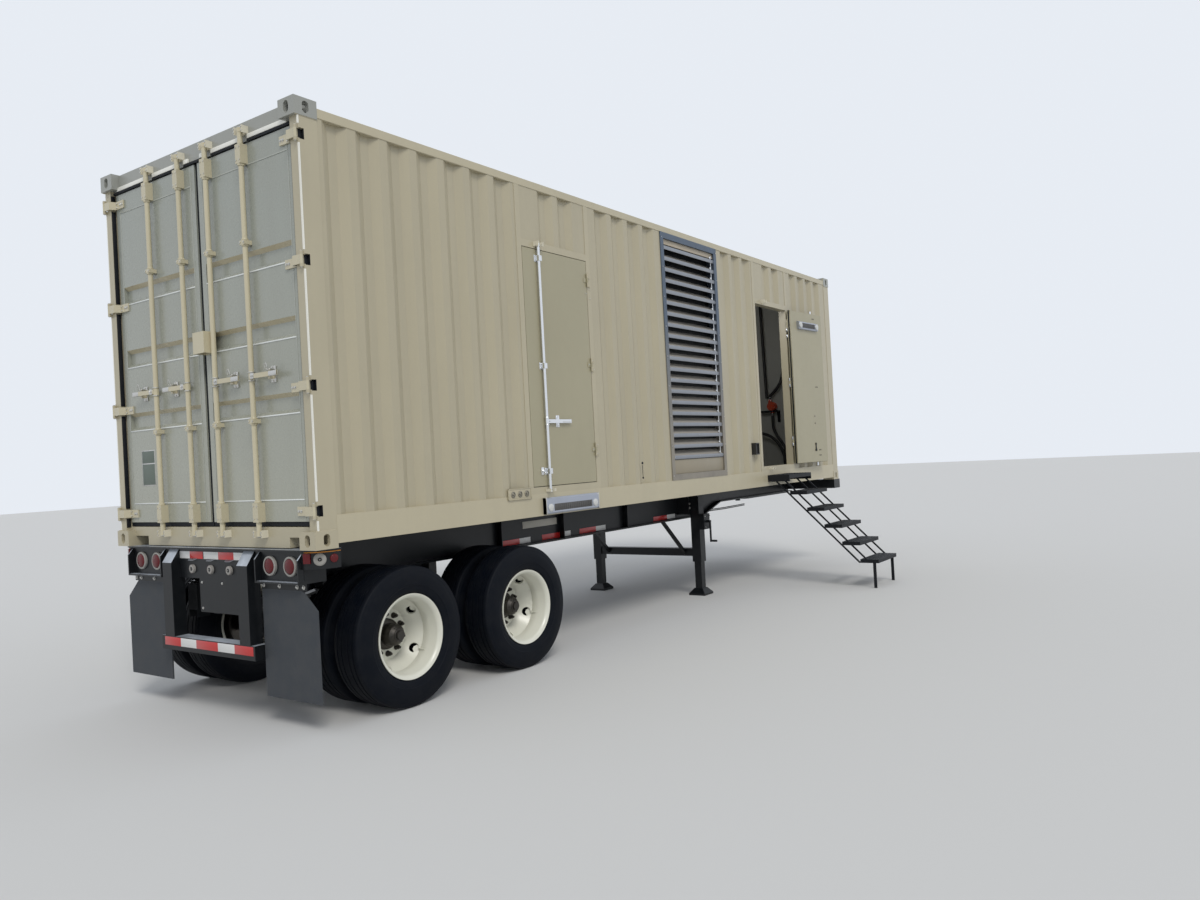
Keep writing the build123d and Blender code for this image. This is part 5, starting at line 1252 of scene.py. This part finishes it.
for height in (-0.24, -0.256):
    form.path([
        spot(0.35 + 0.6 * number, -0.47, height - 0.006 * (number % 2))
        for number in range(13)], 0.006, 8)
form.done("air_lines", hose_rubber, "hose_rubber")

# Fuel pump: its cover, ring flanges and screws, and the clamps of its hoses
PUMP = spot(8.9505, -0.321, 1.115)
form = Form()
form.disc(PUMP + BACKWARD * 0.0465, BACKWARD, [
    (0, 0.056), (0.007, 0.056), (0.01, 0.052), (0.01, 0.03), (0.016, 0.026)], 36)
for shift in (0.03, -0.022):
    form.turned(PUMP + BACKWARD * shift, BACKWARD, ring(0.0615, 0.0665, 0.008), 40)
form.done("pump_cover", pump_paint, "pump_paint")
form = Form()
for angle in (radians(30 + 60 * number) for number in range(6)):
    place = PUMP + BACKWARD * 0.0565 + Vector((0, cos(angle), sin(angle))) * 0.044
    form.bolt(place, BACKWARD, 0.005, False)
for across, height, way in ((-0.291, 1.217, UPWARD), (-0.321, 1.013, DOWNWARD)):
    port = spot(8.9505, across, height)
    form.disc(port - way * 0.03, way, [(0, 0.0285), (0.014, 0.0285), (0.018, 0.027)], 6)
    for along, radius in ((-0.004, 0.0275), (0.022, 0.0235)):
        form.turned(port + way * along, way, ring(0.0205, radius, 0.01), 24)
form.done("pump_fittings", bright_metal, "bright_steel")

# Bolts of the landing gear
form = Form()
form.bolts(around(0.07, 5.794), -0.661, (-0.11, -0.16), RIGHTWARD, 0.01)
form.mirrored()
form.bolts(around(0.055, 5.794), -0.852, (-0.26, -0.385), RIGHTWARD, 0.0065, False)
form.done("leg_bolts", zinc_metal, "chassis_paint")

# Stair: raised grips on its treads, and the bolts of its treads and hooks
TREAD_RUN, TREAD_RISE, GRIPS_A_ROW = 0.207, 0.203, 17
treads = [(-1.504, 0.16, 6.737, 7.418, 0.285)]
treads += [
    (-1.499 - TREAD_RUN * number, 0.16 - TREAD_RISE * number, 6.762, 7.393, 0.215)
    for number in range(1, 6)]
form = Form()
grip = [(0, 0.006), (0, 0.0105), (0.0035, 0.0085), (0.0035, 0.0065)]
for edge, top, start, end, deep in treads:
    rows = int(deep / 0.034)
    for row, step in product(range(rows), range(GRIPS_A_ROW)):
        across = edge + 0.02 + row * (deep - 0.03) / (rows - 1)
        place = start + 0.028 + (end - start - 0.056) * (step + 0.5 * (row % 2)) / GRIPS_A_ROW
        form.turned(spot(place, across, top - 0.001), UPWARD, grip, 8)
form.done("tread_grips", stair_paint, "stair_paint")
form = Form()
for shift, way in ((-0.3285, BACKWARD), (0.3285, FORWARD)):
    for edge, top, *_ in treads[1:]:
        form.bolts(7.0775 + shift, (edge + 0.045, edge + 0.17), top - 0.021, way, 0.008)
for place, way in ((6.735, BACKWARD), (7.42, FORWARD)):
    form.bolts(place, (-1.27, -1.44), 0.09, way, 0.008)
form.done("stair_bolts", stair_paint, "stair_paint")

# Floor, world and lamps
FLOOR_REACH = 60
floor_mesh = bpy.data.meshes.new("floor")
corners = [(x * FLOOR_REACH, y * FLOOR_REACH, 0) for x, y in ((-1, -1), (1, -1), (1, 1), (-1, 1))]
floor_mesh.from_pydata(corners, [], [(0, 1, 2, 3)])
floor = bpy.data.objects.new("floor", floor_mesh)
scene.collection.objects.link(floor)
s = Shader("floor_surface")
s.set(Base_Color=(0.62, 0.62, 0.61, 1), Roughness=0.9)
floor.data.materials.append(s.material)

# The camera and reflections see a paler sky than the one that lights the scene
SKY_LIGHT, SKY_SEEN = (0.62, 0.65, 0.7, 1), (0.8, 0.84, 0.9, 1)
world = bpy.data.worlds.new("world")
scene.world = world
world.use_nodes = True
nodes, links = world.node_tree.nodes, world.node_tree.links
paths = nodes.new("ShaderNodeLightPath")
seen = nodes.new("ShaderNodeMath")
seen.operation = "MAXIMUM"
links.new(paths.outputs["Is Camera Ray"], seen.inputs[0])
links.new(paths.outputs["Is Glossy Ray"], seen.inputs[1])
shown = nodes.new("ShaderNodeMix")
shown.data_type = "RGBA"
links.new(seen.outputs[0], shown.inputs[0])
shown.inputs[6].default_value = SKY_LIGHT
shown.inputs[7].default_value = SKY_SEEN
links.new(shown.outputs[2], nodes["Background"].inputs["Color"])
nodes["Background"].inputs["Strength"].default_value = 1.0


def lamp(name, kind, place, aim, energy):
    data = bpy.data.lights.new(name, kind)
    data.energy = energy
    made = bpy.data.objects.new(name, data)
    scene.collection.objects.link(made)
    made.location = place
    made.rotation_euler = (Vector(aim) - Vector(place)).to_track_quat("-Z", "Y").to_euler()
    return data


sun = lamp("key", "SUN", (-6, -8, 12), (0, 0, 1.5), 1.3)
sun.color = (1.0, 0.97, 0.92)
sun.angle = radians(20)
for name, place, aim, energy, size in (
        ("room", spot(6.25, -0.75, 2.35), spot(8.95, 0.1, 1.2), 5.5, 0.5),
        ("under", spot(1.4, -0.3, -0.8), spot(1.4, 0.75, -0.62), 2.2, 0.3)):
    area = lamp(name, "AREA", place, aim, energy)
    area.shape = "DISK"
    area.size = size

scene.view_settings.view_transform = "Standard"
